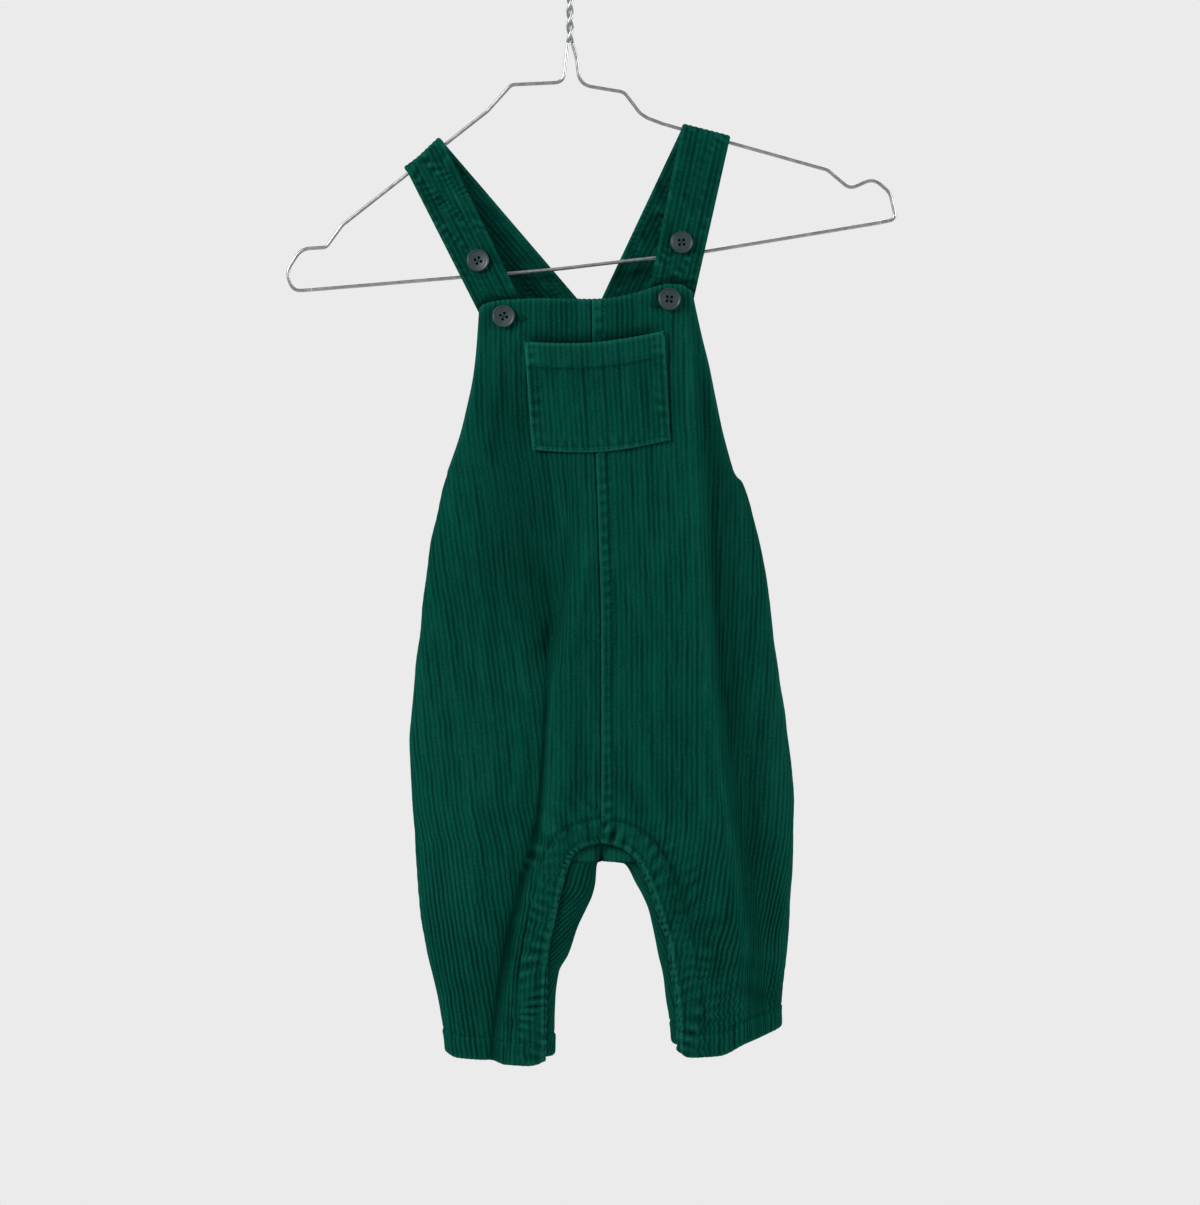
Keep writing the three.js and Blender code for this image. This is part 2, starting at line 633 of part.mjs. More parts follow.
// The back's crotch strip, which comes up from the saddle and reaches under the front's arched edge.
function crotchBand() {
  const outer = [];
  const inner = [];
  for (const level of BAND_LEVELS) {
    const outerRow = [];
    const innerRow = [];
    const addPoint = (half, share) => {
      const reach = Math.max(level, ARCH_TOP + 1);
      const ends = [
        angleAt(half, level, archEdge[half](reach) + half * LAP_WIDTH, false),
        angleAt(half, level, centreX(level), false),
      ];
      const angle = angleAlong(half, level, "back", ends, share);
      const point = clothPoint(half, angle, level, "back");
      if (share === 1) point.x = centreX(level);
      const normal = clothNormal(half, angle, level, "back");
      if (share === 1) normal.setX(0).normalize();
      if (level === BAND_LEVELS.at(-1)) normal.setZ(0).normalize();
      point.addScaledVector(normal, level < BAND_OUT ? -2 * SEAM_GAP : 0);
      outerRow.push(point);
      innerRow.push(point.clone().addScaledVector(normal, -CLOTH));
    };
    for (let j = 0; j <= BAND_COLUMNS; j++) addPoint(-1, j / BAND_COLUMNS);
    for (let j = BAND_COLUMNS - 1; j >= 0; j--) addPoint(1, j / BAND_COLUMNS);
    outer.push(outerRow);
    inner.push(innerRow);
  }
  return facingOut(wallGeometry(outer, inner));
}

// Middle of a strap's thickness where it lies behind the bib, or inside the back.
function strapDepth(x, drop, isFront, layer) {
  const away = CLOTH + STRAP.gap + STRAP.thickness / 2 + STRAP.rest;
  const aboveBackEdge = 1 - smooth((drop - BACK_TOP - 4) / 12);
  const stack = layer === 0 ? (STRAP.thickness + STRAP.gap + 2 * STRAP.rest) * aboveBackEdge : 0;
  if (isFront) return frontFace(x, Math.max(drop, bibEdge(x))).point.y + away;
  return backFace(x, Math.max(drop, BACK_TOP)).point.y - away - stack;
}

// The strap's middle surface from its front end, over the wire, to its back end.
function strapSheet(strap) {
  const middleRadius = WIRE_RADIUS + STRAP.gap + STRAP.thickness / 2;
  const edges = [strap.outer, strap.inner];
  const wireAlong = new THREE.Vector3(
    strap.inner.wireX - strap.outer.wireX, 0, strap.outer.wireDrop - strap.inner.wireDrop,
  ).normalize();
  const up = new THREE.Vector3(-wireAlong.z, 0, wireAlong.x);
  if (up.z < 0) up.negate();
  const lineTo = (edge, isFront, t) => {
    const x = mix(isFront ? edge.frontX : edge.backX, edge.wireX, t);
    const drop = mix(isFront ? edge.frontDrop : STRAP.endDrop, edge.wireDrop, t);
    const seat = isFront ? bibEdge(x) : STRAP.crossingTop;
    const seated = drop >= seat;
    const free = clamp((seat - drop) / (seat - edge.wireDrop), 0, 1);
    const rest = strapDepth(x, drop, isFront, strap.layer);
    const wireSide = (isFront ? -1 : 1) * middleRadius;
    return new THREE.Vector3(x, seated ? rest : mix(rest, wireSide, free), -drop);
  };
  const rows = [];
  const addRow = (at) => {
    const ends = edges.map(at);
    rows.push(Array.from({ length: STRAP_CELLS.across + 1 }, (_, j) => {
      return ends[0].clone().lerp(ends[1], j / STRAP_CELLS.across);
    }));
  };
  for (let i = 0; i < STRAP_CELLS.front; i++) addRow((edge) => lineTo(edge, true, i / STRAP_CELLS.front));
  for (let i = 0; i <= STRAP_CELLS.wrap; i++) {
    const turn = (Math.PI * i) / STRAP_CELLS.wrap;
    addRow((edge) =>
      new THREE.Vector3(edge.wireX, -middleRadius * Math.cos(turn), -edge.wireDrop)
        .addScaledVector(up, middleRadius * Math.sin(turn)),
    );
  }
  for (let i = 1; i <= STRAP_CELLS.back; i++) addRow((edge) => lineTo(edge, false, 1 - i / STRAP_CELLS.back));
  return rows;
}

// Moves a sheet of points both ways along its normals and closes it into a solid.
function thicken(sheet, thickness) {
  const last = { row: sheet.length - 1, column: sheet[0].length - 1 };
  const normalAt = (i, j) => {
    const down = sheet[Math.min(i + 1, last.row)][j].clone().sub(sheet[Math.max(i - 1, 0)][j]);
    const across = sheet[i][Math.min(j + 1, last.column)].clone().sub(sheet[i][Math.max(j - 1, 0)]);
    return down.cross(across).normalize();
  };
  const shifted = (distance) =>
    sheet.map((row, i) => row.map((point, j) => point.clone().addScaledVector(normalAt(i, j), distance)));
  return facingOut(wallGeometry(shifted(thickness / 2), shifted(-thickness / 2)));
}

function asManifold(geometry) {
  const bare = geometry.clone();
  for (const name of ["normal", "uv"]) bare.deleteAttribute(name);
  const merged = mergeVertices(bare, 1e-4);
  return new wasm.Manifold(new wasm.Mesh({
    numProp: 3,
    vertProperties: new Float32Array(merged.attributes.position.array),
    triVerts: new Uint32Array(merged.index.array),
  }));
}

function asGeometry(manifold) {
  const mesh = manifold.getMesh();
  const geometry = new THREE.BufferGeometry();
  geometry.setAttribute("position", new THREE.BufferAttribute(mesh.vertProperties, 3));
  geometry.setIndex(new THREE.BufferAttribute(mesh.triVerts, 1));
  return geometry;
}

// A dished button with a rounded rim and four sewing holes, its back at z = 0.
function buttonGeometry() {
  const { radius, thickness, rim, dish } = BUTTON;
  const profile = [
    [0, 0],
    [radius - 1.2, 0],
    [radius - 0.2, thickness * 0.35],
    [radius, thickness * 0.7],
    [radius - 0.5, thickness],
    [radius - rim, thickness],
    [radius - rim - 0.7, thickness - dish],
    [0, thickness - dish],
  ].map(([r, z]) => new THREE.Vector2(r, z));
  let disc = asManifold(new THREE.LatheGeometry(profile, 24).rotateX(Math.PI / 2));
  for (const [sx, sy] of [[1, 1], [-1, 1], [-1, -1], [1, -1]]) {
    const hole = new THREE.CylinderGeometry(BUTTON.holeRadius, BUTTON.holeRadius, 3 * thickness, 8)
      .rotateX(Math.PI / 2)
      .translate(sx * BUTTON.holeSpacing, sy * BUTTON.holeSpacing, 0);
    disc = disc.subtract(asManifold(hole));
  }
  return asGeometry(disc);
}

// A line with round bends, as points that are close together only in the bends.
function bentRoute(corners) {
  const at = corners.map((corner) => new THREE.Vector3(corner.x, 0, -corner.drop));
  const stations = [at[0]];
  for (let i = 1; i < at.length - 1; i++) {
    const back = at[i - 1].clone().sub(at[i]);
    const ahead = at[i + 1].clone().sub(at[i]);
    const angle = back.angleTo(ahead);
    const wanted = corners[i].bend / Math.tan(angle / 2);
    const reach = Math.min(wanted, 0.48 * back.length(), 0.48 * ahead.length());
    const from = at[i].clone().addScaledVector(back.normalize(), reach);
    const to = at[i].clone().addScaledVector(ahead.normalize(), reach);
    const bend = new THREE.QuadraticBezierCurve3(from, at[i], to);
    const pieces = clamp(Math.ceil((Math.PI - angle) / 0.35), 2, 6);
    stations.push(...bend.getPoints(pieces));
  }
  return [...stations, at.at(-1)];
}

// A path that goes through its stations in equal steps of its parameter, whatever their spacing.
class StationCurve extends THREE.Curve {
  constructor(stations) {
    super();
    this.stations = stations;
  }
  getPoint(t) {
    const place = clamp(t, 0, 1) * (this.stations.length - 1);
    const i = Math.min(Math.floor(place), this.stations.length - 2);
    return this.stations[i].clone().lerp(this.stations[i + 1], place - i);
  }
  getPointAt(t) {
    return this.getPoint(t);
  }
  getTangentAt(t) {
    const step = 0.5 / (this.stations.length - 1);
    return this.getPoint(t + step).sub(this.getPoint(t - step)).normalize();
  }
}

function wireTube(stations) {
  const outline = new THREE.Shape(
    Array.from({ length: WIRE_SIDES }, (_, i) => {
      const turn = (2 * Math.PI * i) / WIRE_SIDES;
      return new THREE.Vector2(WIRE_RADIUS * Math.cos(turn), WIRE_RADIUS * Math.sin(turn));
    }),
  );
  return new THREE.ExtrudeGeometry(outline, {
    steps: stations.length - 1,
    extrudePath: new StationCurve(stations),
    bevelEnabled: false,
  });
}

// One of the two strands that are twisted together above the arms.
function twistStrand(phase) {
  const steps = 15;
  return Array.from({ length: steps + 1 }, (_, i) => {
    const up = i / steps;
    const turn = phase + 2 * Math.PI * TWIST.turns * up;
    const offset = TWIST.strandOffset;
    return new THREE.Vector3(offset * Math.cos(turn), offset * Math.sin(turn), -mix(TWIST.bottom, TWIST.top, up));
  });
}

// The strand that goes on from the twist into the stem and round the hook.
function hookRoute() {
  const radius = HOOK.radius + WIRE_RADIUS;
  const strand = twistStrand(Math.PI);
  const crown = [];
  const steps = 20;
  for (let i = 0; i <= steps; i++) {
    const turn = THREE.MathUtils.degToRad(mix(HOOK.startAngle, HOOK.endAngle, i / steps));
    crown.push(new THREE.Vector3(radius * Math.cos(turn), 0, radius * Math.sin(turn) - HOOK.radius));
  }
  const stem = new THREE.CubicBezierCurve3(
    strand.at(-1),
    new THREE.Vector3(0, 0, -HOOK.stemDrop + 4),
    crown[0].clone().add(new THREE.Vector3(-9, 0, -7)),
    crown[0],
  );
  return [...strand, ...stem.getPoints(8).slice(1, -1), ...crown];
}

const group = new THREE.Group();

function addPiece(name, geometry, finish) {
  const mesh = new THREE.Mesh(geometry, new THREE.MeshStandardMaterial(finish));
  mesh.name = name;
  group.add(mesh);
  return mesh;
}

const HALVES = { right: -1, left: 1 };
for (const [side, half] of Object.entries(HALVES)) {
  addPiece(`front_${side}`, bodyPanel(half, "front"), FINISHES.corduroy);
  addPiece(`back_${side}`, bodyPanel(half, "back"), FINISHES.corduroy);
}
addPiece("chest_pocket", chestPocket(), FINISHES.corduroy);
addPiece("crotch_band", crotchBand(), FINISHES.corduroy);

const strapSheets = {};
for (const side of Object.keys(STRAPS)) {
  strapSheets[side] = strapSheet(STRAPS[side]);
  addPiece(`strap_${side}`, thicken(strapSheets[side], STRAP.thickness), FINISHES.corduroy);
}

// The strap's front face nearest to a place of the front view.
function strapFace(sheet, x, drop) {
  let best = null;
  for (let i = 0; i < sheet.length / 2; i++)
    for (const point of sheet[i]) {
      const distance = Math.hypot(point.x - x, -point.z - drop);
      if (!best || distance < best.distance) best = { distance, i };
    }
  const row = sheet[best.i];
  const middle = STRAP_CELLS.across / 2;
  const centre = row[middle];
  const down = sheet[best.i + 1][middle].clone().sub(sheet[best.i - 1][middle]);
  const normal = down.cross(row.at(-1).clone().sub(row[0])).normalize();
  if (normal.y > 0) normal.negate();
  const planeY = centre.y - ((x - centre.x) * normal.x + (-drop - centre.z) * normal.z) / normal.y;
  const point = new THREE.Vector3(x, planeY, -drop).addScaledVector(normal, STRAP.thickness / 2);
  return { point, normal };
}

for (const button of BUTTONS) {
  const face = button.on === "bib"
    ? frontFace(button.x, button.drop)
    : strapFace(strapSheets[button.on], button.x, button.drop);
  const mesh = addPiece(button.name, buttonGeometry(), FINISHES.button);
  mesh.quaternion.setFromUnitVectors(new THREE.Vector3(0, 0, 1), face.normal);
  mesh.rotateZ(THREE.MathUtils.degToRad(button.turn));
  mesh.position.copy(face.point).addScaledVector(face.normal, SEATING_GAP);
}

addPiece("hanger_hook", wireTube(hookRoute()), FINISHES.wire);
addPiece("hanger_twist", wireTube(twistStrand(0)), FINISHES.wire);
addPiece("hanger_arm_right", wireTube(bentRoute(ARM_RIGHT)), FINISHES.wire);
addPiece("hanger_arm_left", wireTube(bentRoute(ARM_LEFT)), FINISHES.wire);
addPiece("hanger_bar", wireTube(bentRoute(BAR)), FINISHES.wire);

export default group;
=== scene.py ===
"""Looks of a small child's wide-wale corduroy bib overalls on a wire hanger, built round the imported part.

Tables and sizes are in millimetres. Heights are drops below the hook's crown, as in the part's source,
so z is minus the drop. Meshes are turned to metres when they are made. Left and right are the wearer's,
so left is +X, and the front faces -Y.
"""

import math

import bpy
import numpy as np
from mathutils import Matrix, Vector


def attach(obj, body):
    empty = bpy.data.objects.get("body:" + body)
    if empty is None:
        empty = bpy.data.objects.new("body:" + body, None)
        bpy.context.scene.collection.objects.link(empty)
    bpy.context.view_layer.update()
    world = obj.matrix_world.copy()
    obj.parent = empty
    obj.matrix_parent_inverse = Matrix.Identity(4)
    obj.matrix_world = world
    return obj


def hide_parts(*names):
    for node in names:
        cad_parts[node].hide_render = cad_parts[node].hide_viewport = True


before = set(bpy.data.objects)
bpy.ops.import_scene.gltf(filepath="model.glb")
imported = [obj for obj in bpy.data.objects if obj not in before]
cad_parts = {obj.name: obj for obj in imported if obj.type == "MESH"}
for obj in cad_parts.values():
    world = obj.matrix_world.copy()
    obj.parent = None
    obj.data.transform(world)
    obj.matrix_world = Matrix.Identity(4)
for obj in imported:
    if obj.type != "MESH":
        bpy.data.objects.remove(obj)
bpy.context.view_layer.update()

MM = 0.001
RIGHT, LEFT = -1, 1
SIDE_NAMES = {RIGHT: "right", LEFT: "left"}


def columns(names, *rows):
    """A short table as one array for each named column."""
    return {name: np.array(values, float) for name, values in zip(names.split(), zip(*rows))}


# Cloth, seams and levels, as in the part
CLOTH = 2.0
SEAM_GAP = 0.3
SEAM_TOUCH = 0.06  # sewn edges meet in the looks
LAP = CLOTH + 2 * SEAM_GAP
LAP_WIDTH = 7
LAP_HOLD = 3
LAP_RISE = 20
BIB_TOP = 277
BACK_TOP = 336
UNDERARM = 398
CLEFT_TOP = 563
ARCH_TOP = 641
SADDLE = 652.7
LEG_BLEND = 60
HEM = 785
SQUARENESS = 2.6

OUTLINE = columns(
    "drop right left",
    (266, -60.0, 81.0),
    (284, -61.0, 84.5),
    (304, -62.3, 89.0),
    (324, -64.3, 93.8),
    (344, -67.7, 97.8),
    (365, -72.4, 102.5),
    (385, -79.0, 108.5),
    (394, -82.4, 112.0),
    (400, -84.6, 116.5),
    (425, -90.5, 124.0),
    (445, -95.0, 129.3),
    (465, -97.2, 132.7),
    (505, -101.8, 137.4),
    (545, -106.0, 143.4),
    (576, -108.2, 147.5),
    (606, -106.6, 150.6),
    (646, -104.0, 150.2),
    (686, -101.2, 148.0),
    (706, -97.8, 146.7),
    (726, -93.8, 144.7),
    (746, -89.2, 142.8),
    (767, -85.2, 142.4),
    (792, -83.0, 142.0),
)
INNER_SIDE = columns(
    "drop right left",
    (652.7, 21.0, 21.0),
    (653.4, 18.6, 34.0),
    (654.5, 18.0, 36.6),
    (657, 17.4, 39.0),
    (667, 16.6, 43.8),
    (676, 14.6, 49.0),
    (686, 10.2, 53.2),
    (697, 5.0, 55.8),
    (716, -1.6, 59.8),
    (728, -7.8, 62.6),
    (746, -10.2, 65.0),
    (767, -10.8, 68.2),
    (792, -11.0, 70.2),
)
CENTRE = columns(
    "drop x",
    (266, 14.5),
    (340, 15.4),
    (380, 17.2),
    (440, 19.4),
    (505, 21.0),
    (652.7, 21.0),
)
DEPTH = columns(
    "drop front back",
    (266, 20, 15),
    (340, 21, 16),
    (395, 22, 20),
    (450, 25, 24),
    (520, 27, 27),
    (600, 28, 29),
    (650, 27, 28),
    (690, 25, 25),
    (730, 21, 22),
    (792, 18, 19),
)
ARMHOLE_TURN = columns("drop degrees", (266, 52), (340, 50), (370, 42), (386, 27), (398, 0))
INNER_FORWARD = columns("drop forward", (652.7, 14), (690, 9), (792, 2))
ARCH_EDGE = columns(
    "drop right left",
    (641, 21.0, 21.0),
    (642, 14.0, 29.0),
    (644, 7.5, 35.0),
    (648, 2.4, 41.0),
    (654, -0.8, 46.0),
    (664, -3.8, 51.5),
    (678, -7.4, 57.0),
    (694, -11.0, 62.0),
    (708, -14.2, 66.0),
    (728, -16.4, 69.0),
    (748, -17.1, 71.8),
    (792, -17.8, 74.6),
)
BIB_EDGE = columns(
    "x drop",
    (-61, 283.5),
    (-57, 280.5),
    (-45, 278.2),
    (-20, 277.0),
    (15, 277.5),
    (30, 276.4),
    (46, 272.8),
    (58, 269.2),
    (67, 267.4),
    (76, 267.6),
    (82, 271.5),
)
BACK_EDGE = columns(
    "x drop",
    (-85, 398),
    (-72, 388),
    (-50, 361),
    (-24, 339),
    (-8, 336),
    (50, 336),
    (68, 340),
    (88, 363),
    (104, 388),
    (115, 398),
)
HEM_EDGE = columns(
    "x front back",
    (-85, 781, 781),
    (-76, 785, 784),
    (-50, 787, 786),
    (-44, 789.5, 786),
    (-28, 790, 785),
    (-10, 786, 784),
    (68, 780, 776),
    (80, 784.5, 778),
    (100, 783.5, 777),
    (118, 775, 773),
    (142, 765, 765),
)
FOLD_COLUMNS = "top top_x bottom bottom_x bow width height"
FOLDS = {
    "front": columns(
        FOLD_COLUMNS,
        (320, 80, 690, 106, -6, 8, 5.5),
        (330, 90, 700, 118, -6, 9, -6),
        (470, 52, 760, 92, -6, 16, 4),
        (440, -10, 770, -46, 9, 10, -7),
        (470, 4, 648, -4, 1, 9, 3.5),
        (350, -40, 640, -60, 4, 16, -3.5),
        (560, -66, 790, -66, 0, 15, 3),
        (690, -32, 830, -50, 2, 6, -5),
        (660, 76, 770, 112, 5, 8, -3.5),
        (700, 124, 830, 122, 4, 9, 2.5),
    ),
    "back": columns(
        FOLD_COLUMNS,
        (400, 74, 690, 92, 5, 11, -5.5),
        (420, 54, 660, 62, 4, 11, 4.5),
        (420, -30, 700, -50, -6, 12, -6),
        (440, -12, 650, -20, -3, 10, 4),
        (660, 112, 820, 100, 5, 9, -4),
        (670, -30, 830, -40, -4, 8, -4),
    ),
}

# Wales: pile ribs 3.39 mm apart, so 7.5 to the inch, with a narrow ground between them
WALE = 3.39
WALE_RISE = 0.5
WALE_MARKS = ((0.0, 0.0), (0.15, 0.68), (0.5, 1.0), (0.85, 0.68))
GROUND_DEPTH = 0.35  # the ground lies this far below the cloth's nominal face

# Width of cloth hidden in the deep fold of each panel, and where that fold runs
TUCKS = {
    ("front", RIGHT): columns(
        "drop hidden x", (370, 0, 0), (453, 6, -1), (520, 13, -12.5), (562, 17, -15), (604, 21, -18),
        (640, 25, -24), (667, 29, -31), (697, 37, -38), (727, 47, -44), (767, 55, -49), (792, 58, -51),
    ),
    ("front", LEFT): columns(
        "drop hidden x", (370, 0, 84), (430, 3, 90), (500, 7, 96), (560, 12, 101), (620, 17, 108),
        (660, 20, 114), (700, 24, 120), (792, 26, 126),
    ),
    ("back", RIGHT): columns("drop hidden x", (400, 0, -30), (520, 6, -38), (650, 12, -46), (792, 14, -46)),
    ("back", LEFT): columns("drop hidden x", (400, 0, 74), (520, 6, 84), (650, 12, 92), (792, 14, 100)),
}
TUCK_WIDTHS = {("front", RIGHT): 3.5, ("front", LEFT): 9, ("back", RIGHT): 6, ("back", LEFT): 6}
TUCK_DENTS = {("front", RIGHT): 1.5, ("front", LEFT): 0.3, ("back", RIGHT): 1.0, ("back", LEFT): 1.0}
LEG_ROWS = 606

# A wale of each leg, followed down from the body
GUIDES = {
    ("front", RIGHT): columns("drop x", (641, -80.4), (680, -75.7), (720, -69.7), (760, -63), (792, -59)),
    ("front", LEFT): columns("drop x", (641, 95.1), (680, 89.1), (720, 82.6), (754, 79), (792, 78)),
    ("back", RIGHT): columns("drop x", (652.7, -50), (700, -50), (740, -49), (792, -48)),
    ("back", LEFT): columns("drop x", (652.7, 98), (700, 101), (740, 102), (792, 103)),
}
# The back's grain is pulled askew round the inner side of each leg
INNER_SHEAR = {
    RIGHT: columns("drop shift", (652.7, 0), (690, 1), (716, 4), (740, 9), (792, 22)),
    LEFT: columns("drop shift", (652.7, 0), (668, -4), (700, -9), (740, -10), (792, -10)),
}
# Places where the wales swerve sideways
SWERVES = {
    ("front", LEFT): columns("x drop shift width height", (116, 700, 5, 26, 24), (96, 742, -3, 24, 20)),
    ("front", RIGHT): columns("x drop shift width height", (-40, 420, 2, 30, 40), (-78, 470, 2, 20, 50)),
    ("back", RIGHT): columns("x drop shift width height", (-30, 690, 5, 30, 26)),
    ("back", LEFT): columns("x drop shift width height", (90, 670, -5, 26, 30)),
}

# Finer folds, on top of the part's own: each follows its stations down the cloth and fades at both ends
CREASES = {
    "front": (
        (12, -2.3, ((340, 99), (411, 105), (470, 108), (570, 115), (625, 125), (680, 136), (720, 140))),
        (4.5, 3.4, ((280, 77), (411, 86), (478, 90), (541, 94), (625, 107), (683, 115), (730, 120))),
        (5, 1.2, ((400, 97), (470, 99), (560, 103), (640, 114), (700, 122))),
        (20, -1.6, ((400, 48), (480, 50), (560, 56), (640, 70))),
        (7, -2.6, ((590, 33), (625, 51), (663, 69), (710, 80))),
        (8, 1.7, ((560, 52), (590, 70), (629, 98), (660, 112))),
        (4.5, 2.6, ((430, 15), (449, 13), (500, 2), (541, -8), (583, -11), (640, -14), (680, -20))),
        (6, 1.8, ((500, -12), (562, -18), (604, -21), (640, -27), (670, -33))),
        (3, -1.1, ((470, -8), (507, -14.7), (571, -16.3), (625, -19.3), (670, -24))),
        (4.5, -2.0, ((672, -35), (697, -41), (727, -47), (767, -52), (830, -57))),
        (5, 1.8, ((650, -20), (690, -30), (730, -37), (767, -42), (830, -46))),
        (18, 2.6, ((330, -70), (420, -78), (540, -90), (600, -92))),
        (17, -2.6, ((320, -40), (380, -36), (440, -26), (500, -18), (540, -20))),
        (10, 1.6, ((480, -62), (560, -58), (640, -70), (700, -66))),
        (5, -1.6, ((310, -42), (350, -45), (400, -52))),
    ),
    "back": (
        (8, -2.4, ((400, 50), (470, 56), (560, 60), (640, 70))),
        (7, 2.0, ((420, 2), (500, -6), (600, -14), (640, -20))),
        (9, -2.2, ((350, -30), (420, -44), (500, -52))),
        (6, -2.4, ((660, -34), (700, -38), (792, -40))),
        (7, 2.2, ((660, 92), (710, 96), (780, 92))),
    ),
}
# Short dents that lie across the leg: place, half length, half width, height and slope of each
DENT_COLUMNS = "x drop length width height slope"
DENTS = {
    "front": columns(
        DENT_COLUMNS,
        (94, 696, 20, 6, -2.2, -0.1),
        (118, 716, 18, 6, 1.6, 0.2),
        (124, 744, 20, 6, -2.4, 0.35),
        (100, 738, 14, 6, 1.3, -0.2),
        (104, 765, 22, 7, -1.4, 0.1),
        (-76, 742, 16, 8, -1.0, -0.2),
        (-64, 700, 14, 9, 1.0, 0.3),
        (48, 452, 30, 9, 0.9, 0.0),
        (-60, 505, 26, 12, -1.2, 0.4),
        (-26, 462, 16, 9, -1.4, 0.8),
    ),
    "back": columns(
        DENT_COLUMNS,
        (-60, 690, 24, 7, -2.0, -0.2),
        (-58, 712, 20, 6, 1.6, 0.1),
        (96, 700, 24, 7, -2.2, 0.2),
        (110, 724, 20, 7, 1.6, -0.2),
        (20, 630, 26, 7, -1.6, 0.0),
        (60, 560, 30, 10, -1.2, 0.3),
    ),
}

# Patches painted darker or paler: some where wear has laid the pile over, others painted shade along fold troughs and
# painted light down the left front's outer edge
LAY_AND_PAINTED_LIGHT_COLUMNS = "x drop width height paleness"
LAY_AND_PAINTED_LIGHT = {
    "front": columns(
        LAY_AND_PAINTED_LIGHT_COLUMNS,
        (-34, 420, 34, 70, -0.2),
        (-12, 470, 18, 40, -0.1),
        (50, 560, 24, 90, 0.07),
        (62, 422, 26, 8, 0.12),
        (-80, 650, 18, 60, 0.08),
        (98, 655, 12, 40, 0.1),
        (0, 600, 9, 60, -0.12),
        (88, 350, 6, 60, -0.25),
        (100, 440, 8, 60, -0.2),
        (110, 560, 13, 80, -0.22),
        (122, 655, 9, 50, -0.35),
        (130, 745, 14, 12, -0.25),
        (141, 545, 8, 80, 0.28),
        (-34, 478, 24, 26, -0.15),
        (-85, 470, 20, 80, -0.2),
        (20, 284, 4, 9, 0.3),
        (143, 690, 8, 60, 0.16),
        (-6, 300, 16, 12, -0.08),
    ),
    "back": columns(
        LAY_AND_PAINTED_LIGHT_COLUMNS,
        (60, 620, 40, 60, 0.1),
        (-40, 600, 30, 60, 0.08),
        (20, 430, 60, 40, -0.12),
    ),
}

POCKET = {
    "top_right": (-30.5, 306.0),
    "top_left": (63.0, 298.6),
    "bottom_right": (-25.0, 378.2),
    "bottom_left": (67.0, 371.6),
    "top_sag": 4.2,
    "bottom_sag": 4.6,
    "hem": 16.5,
    "hem_rise": 0.8,
}

STRAP_THICKNESS = 3.0
STRAP_END = 357
CROSSING_TOP = 276
STRAPS = {
    RIGHT: {
        "edges": columns(
            "front_x front_drop wire_x wire_drop back_x",
            (-53.6, 301.0, -109.2, 191.1, 37.4),
            (-20.0, 304.5, -85.1, 170.7, 75.0),
        ),
        "inside": True,
    },
    LEFT: {
        "edges": columns(
            "front_x front_drop wire_x wire_drop back_x",
            (78.0, 299.0, 106.9, 170.7, 14.0),
            (48.4, 294.0, 74.7, 162.1, -17.6),
        ),
        "inside": False,
    },
}

BUTTON_TURNS = {
    "button_bib_right": 25,
    "button_bib_left": 0,
    "button_strap_right": 20,
    "button_strap_left": 10,
}
BUTTON_RADIUS = 7.5
BUTTON_THICKNESS = 2.6
HOLE_RADIUS = 1.0
HOLE_SPACING = 1.5

WIRE_RADIUS = 1.2
WIRE_ARMS = {
    RIGHT: columns(
        "x drop bend", (-1.5, 104, 0), (-3.2, 118, 30), (-4.6, 130.4, 10), (-39.6, 132.0, 6),
        (-55.4, 149.6, 14), (-153.4, 226.6, 8), (-164.2, 241.4, 5), (-181, 242.4, 12), (-191, 258, 12),
        (-186.2, 270.8, 8), (-174, 269.9, 0),
    ),
    LEFT: columns(
        "x drop bend", (1.5, 104, 0), (4.4, 114, 30), (6.4, 132, 11), (36.4, 137, 8), (48.6, 153.2, 20),
        (62.6, 158.4, 20), (173.2, 189.4, 8), (188.2, 202.0, 7), (204, 195.0, 10), (215.2, 204.6, 12),
        (219.2, 222.4, 6), (209, 224.6, 0),
    ),
}
WIRE_BAR = columns("x drop bend", (-173.7, 269.9, 0), (-8.4, 256.0, 300), (89.8, 244.4, 300), (208.7, 224.7, 0))
TWIST_BOTTOM, TWIST_TOP, TWIST_TURNS, TWIST_OFFSET = 103.5, 68, 1.75, WIRE_RADIUS + 0.15
HOOK_RADIUS, HOOK_START, HOOK_END, STEM_DROP = 22, -52, 202, 62


def mix(a, b, t):
    return a + (b - a) * t


def smooth(t):
    s = np.clip(t, 0, 1)
    return s * s * (3 - 2 * s)


def signed_power(value, power):
    return np.sign(value) * np.abs(value) ** power


def curve_of(table, column, along="drop"):
    """A smooth curve without overshoot through one column of a table. It reads whole arrays."""
    at, values = table[along], table[column]
    chords = np.diff(values) / np.diff(at)
    before, after = chords[:-1], chords[1:]
    product = before * after
    inner = np.where(product > 0, 2 * product / np.where(product > 0, before + after, 1), 0)
    slopes = np.concatenate([chords[:1], inner, chords[-1:]])

    def read(x):
        x = np.clip(x, at[0], at[-1])
        i = np.clip(np.searchsorted(at, x, side="right") - 1, 0, len(at) - 2)
        step = at[i + 1] - at[i]
        t = (x - at[i]) / step
        bend = (1 - t) * slopes[i] - t * slopes[i + 1]
        return values[i] + t * t * (3 - 2 * t) * (values[i + 1] - values[i]) + step * t * (1 - t) * bend

    return read


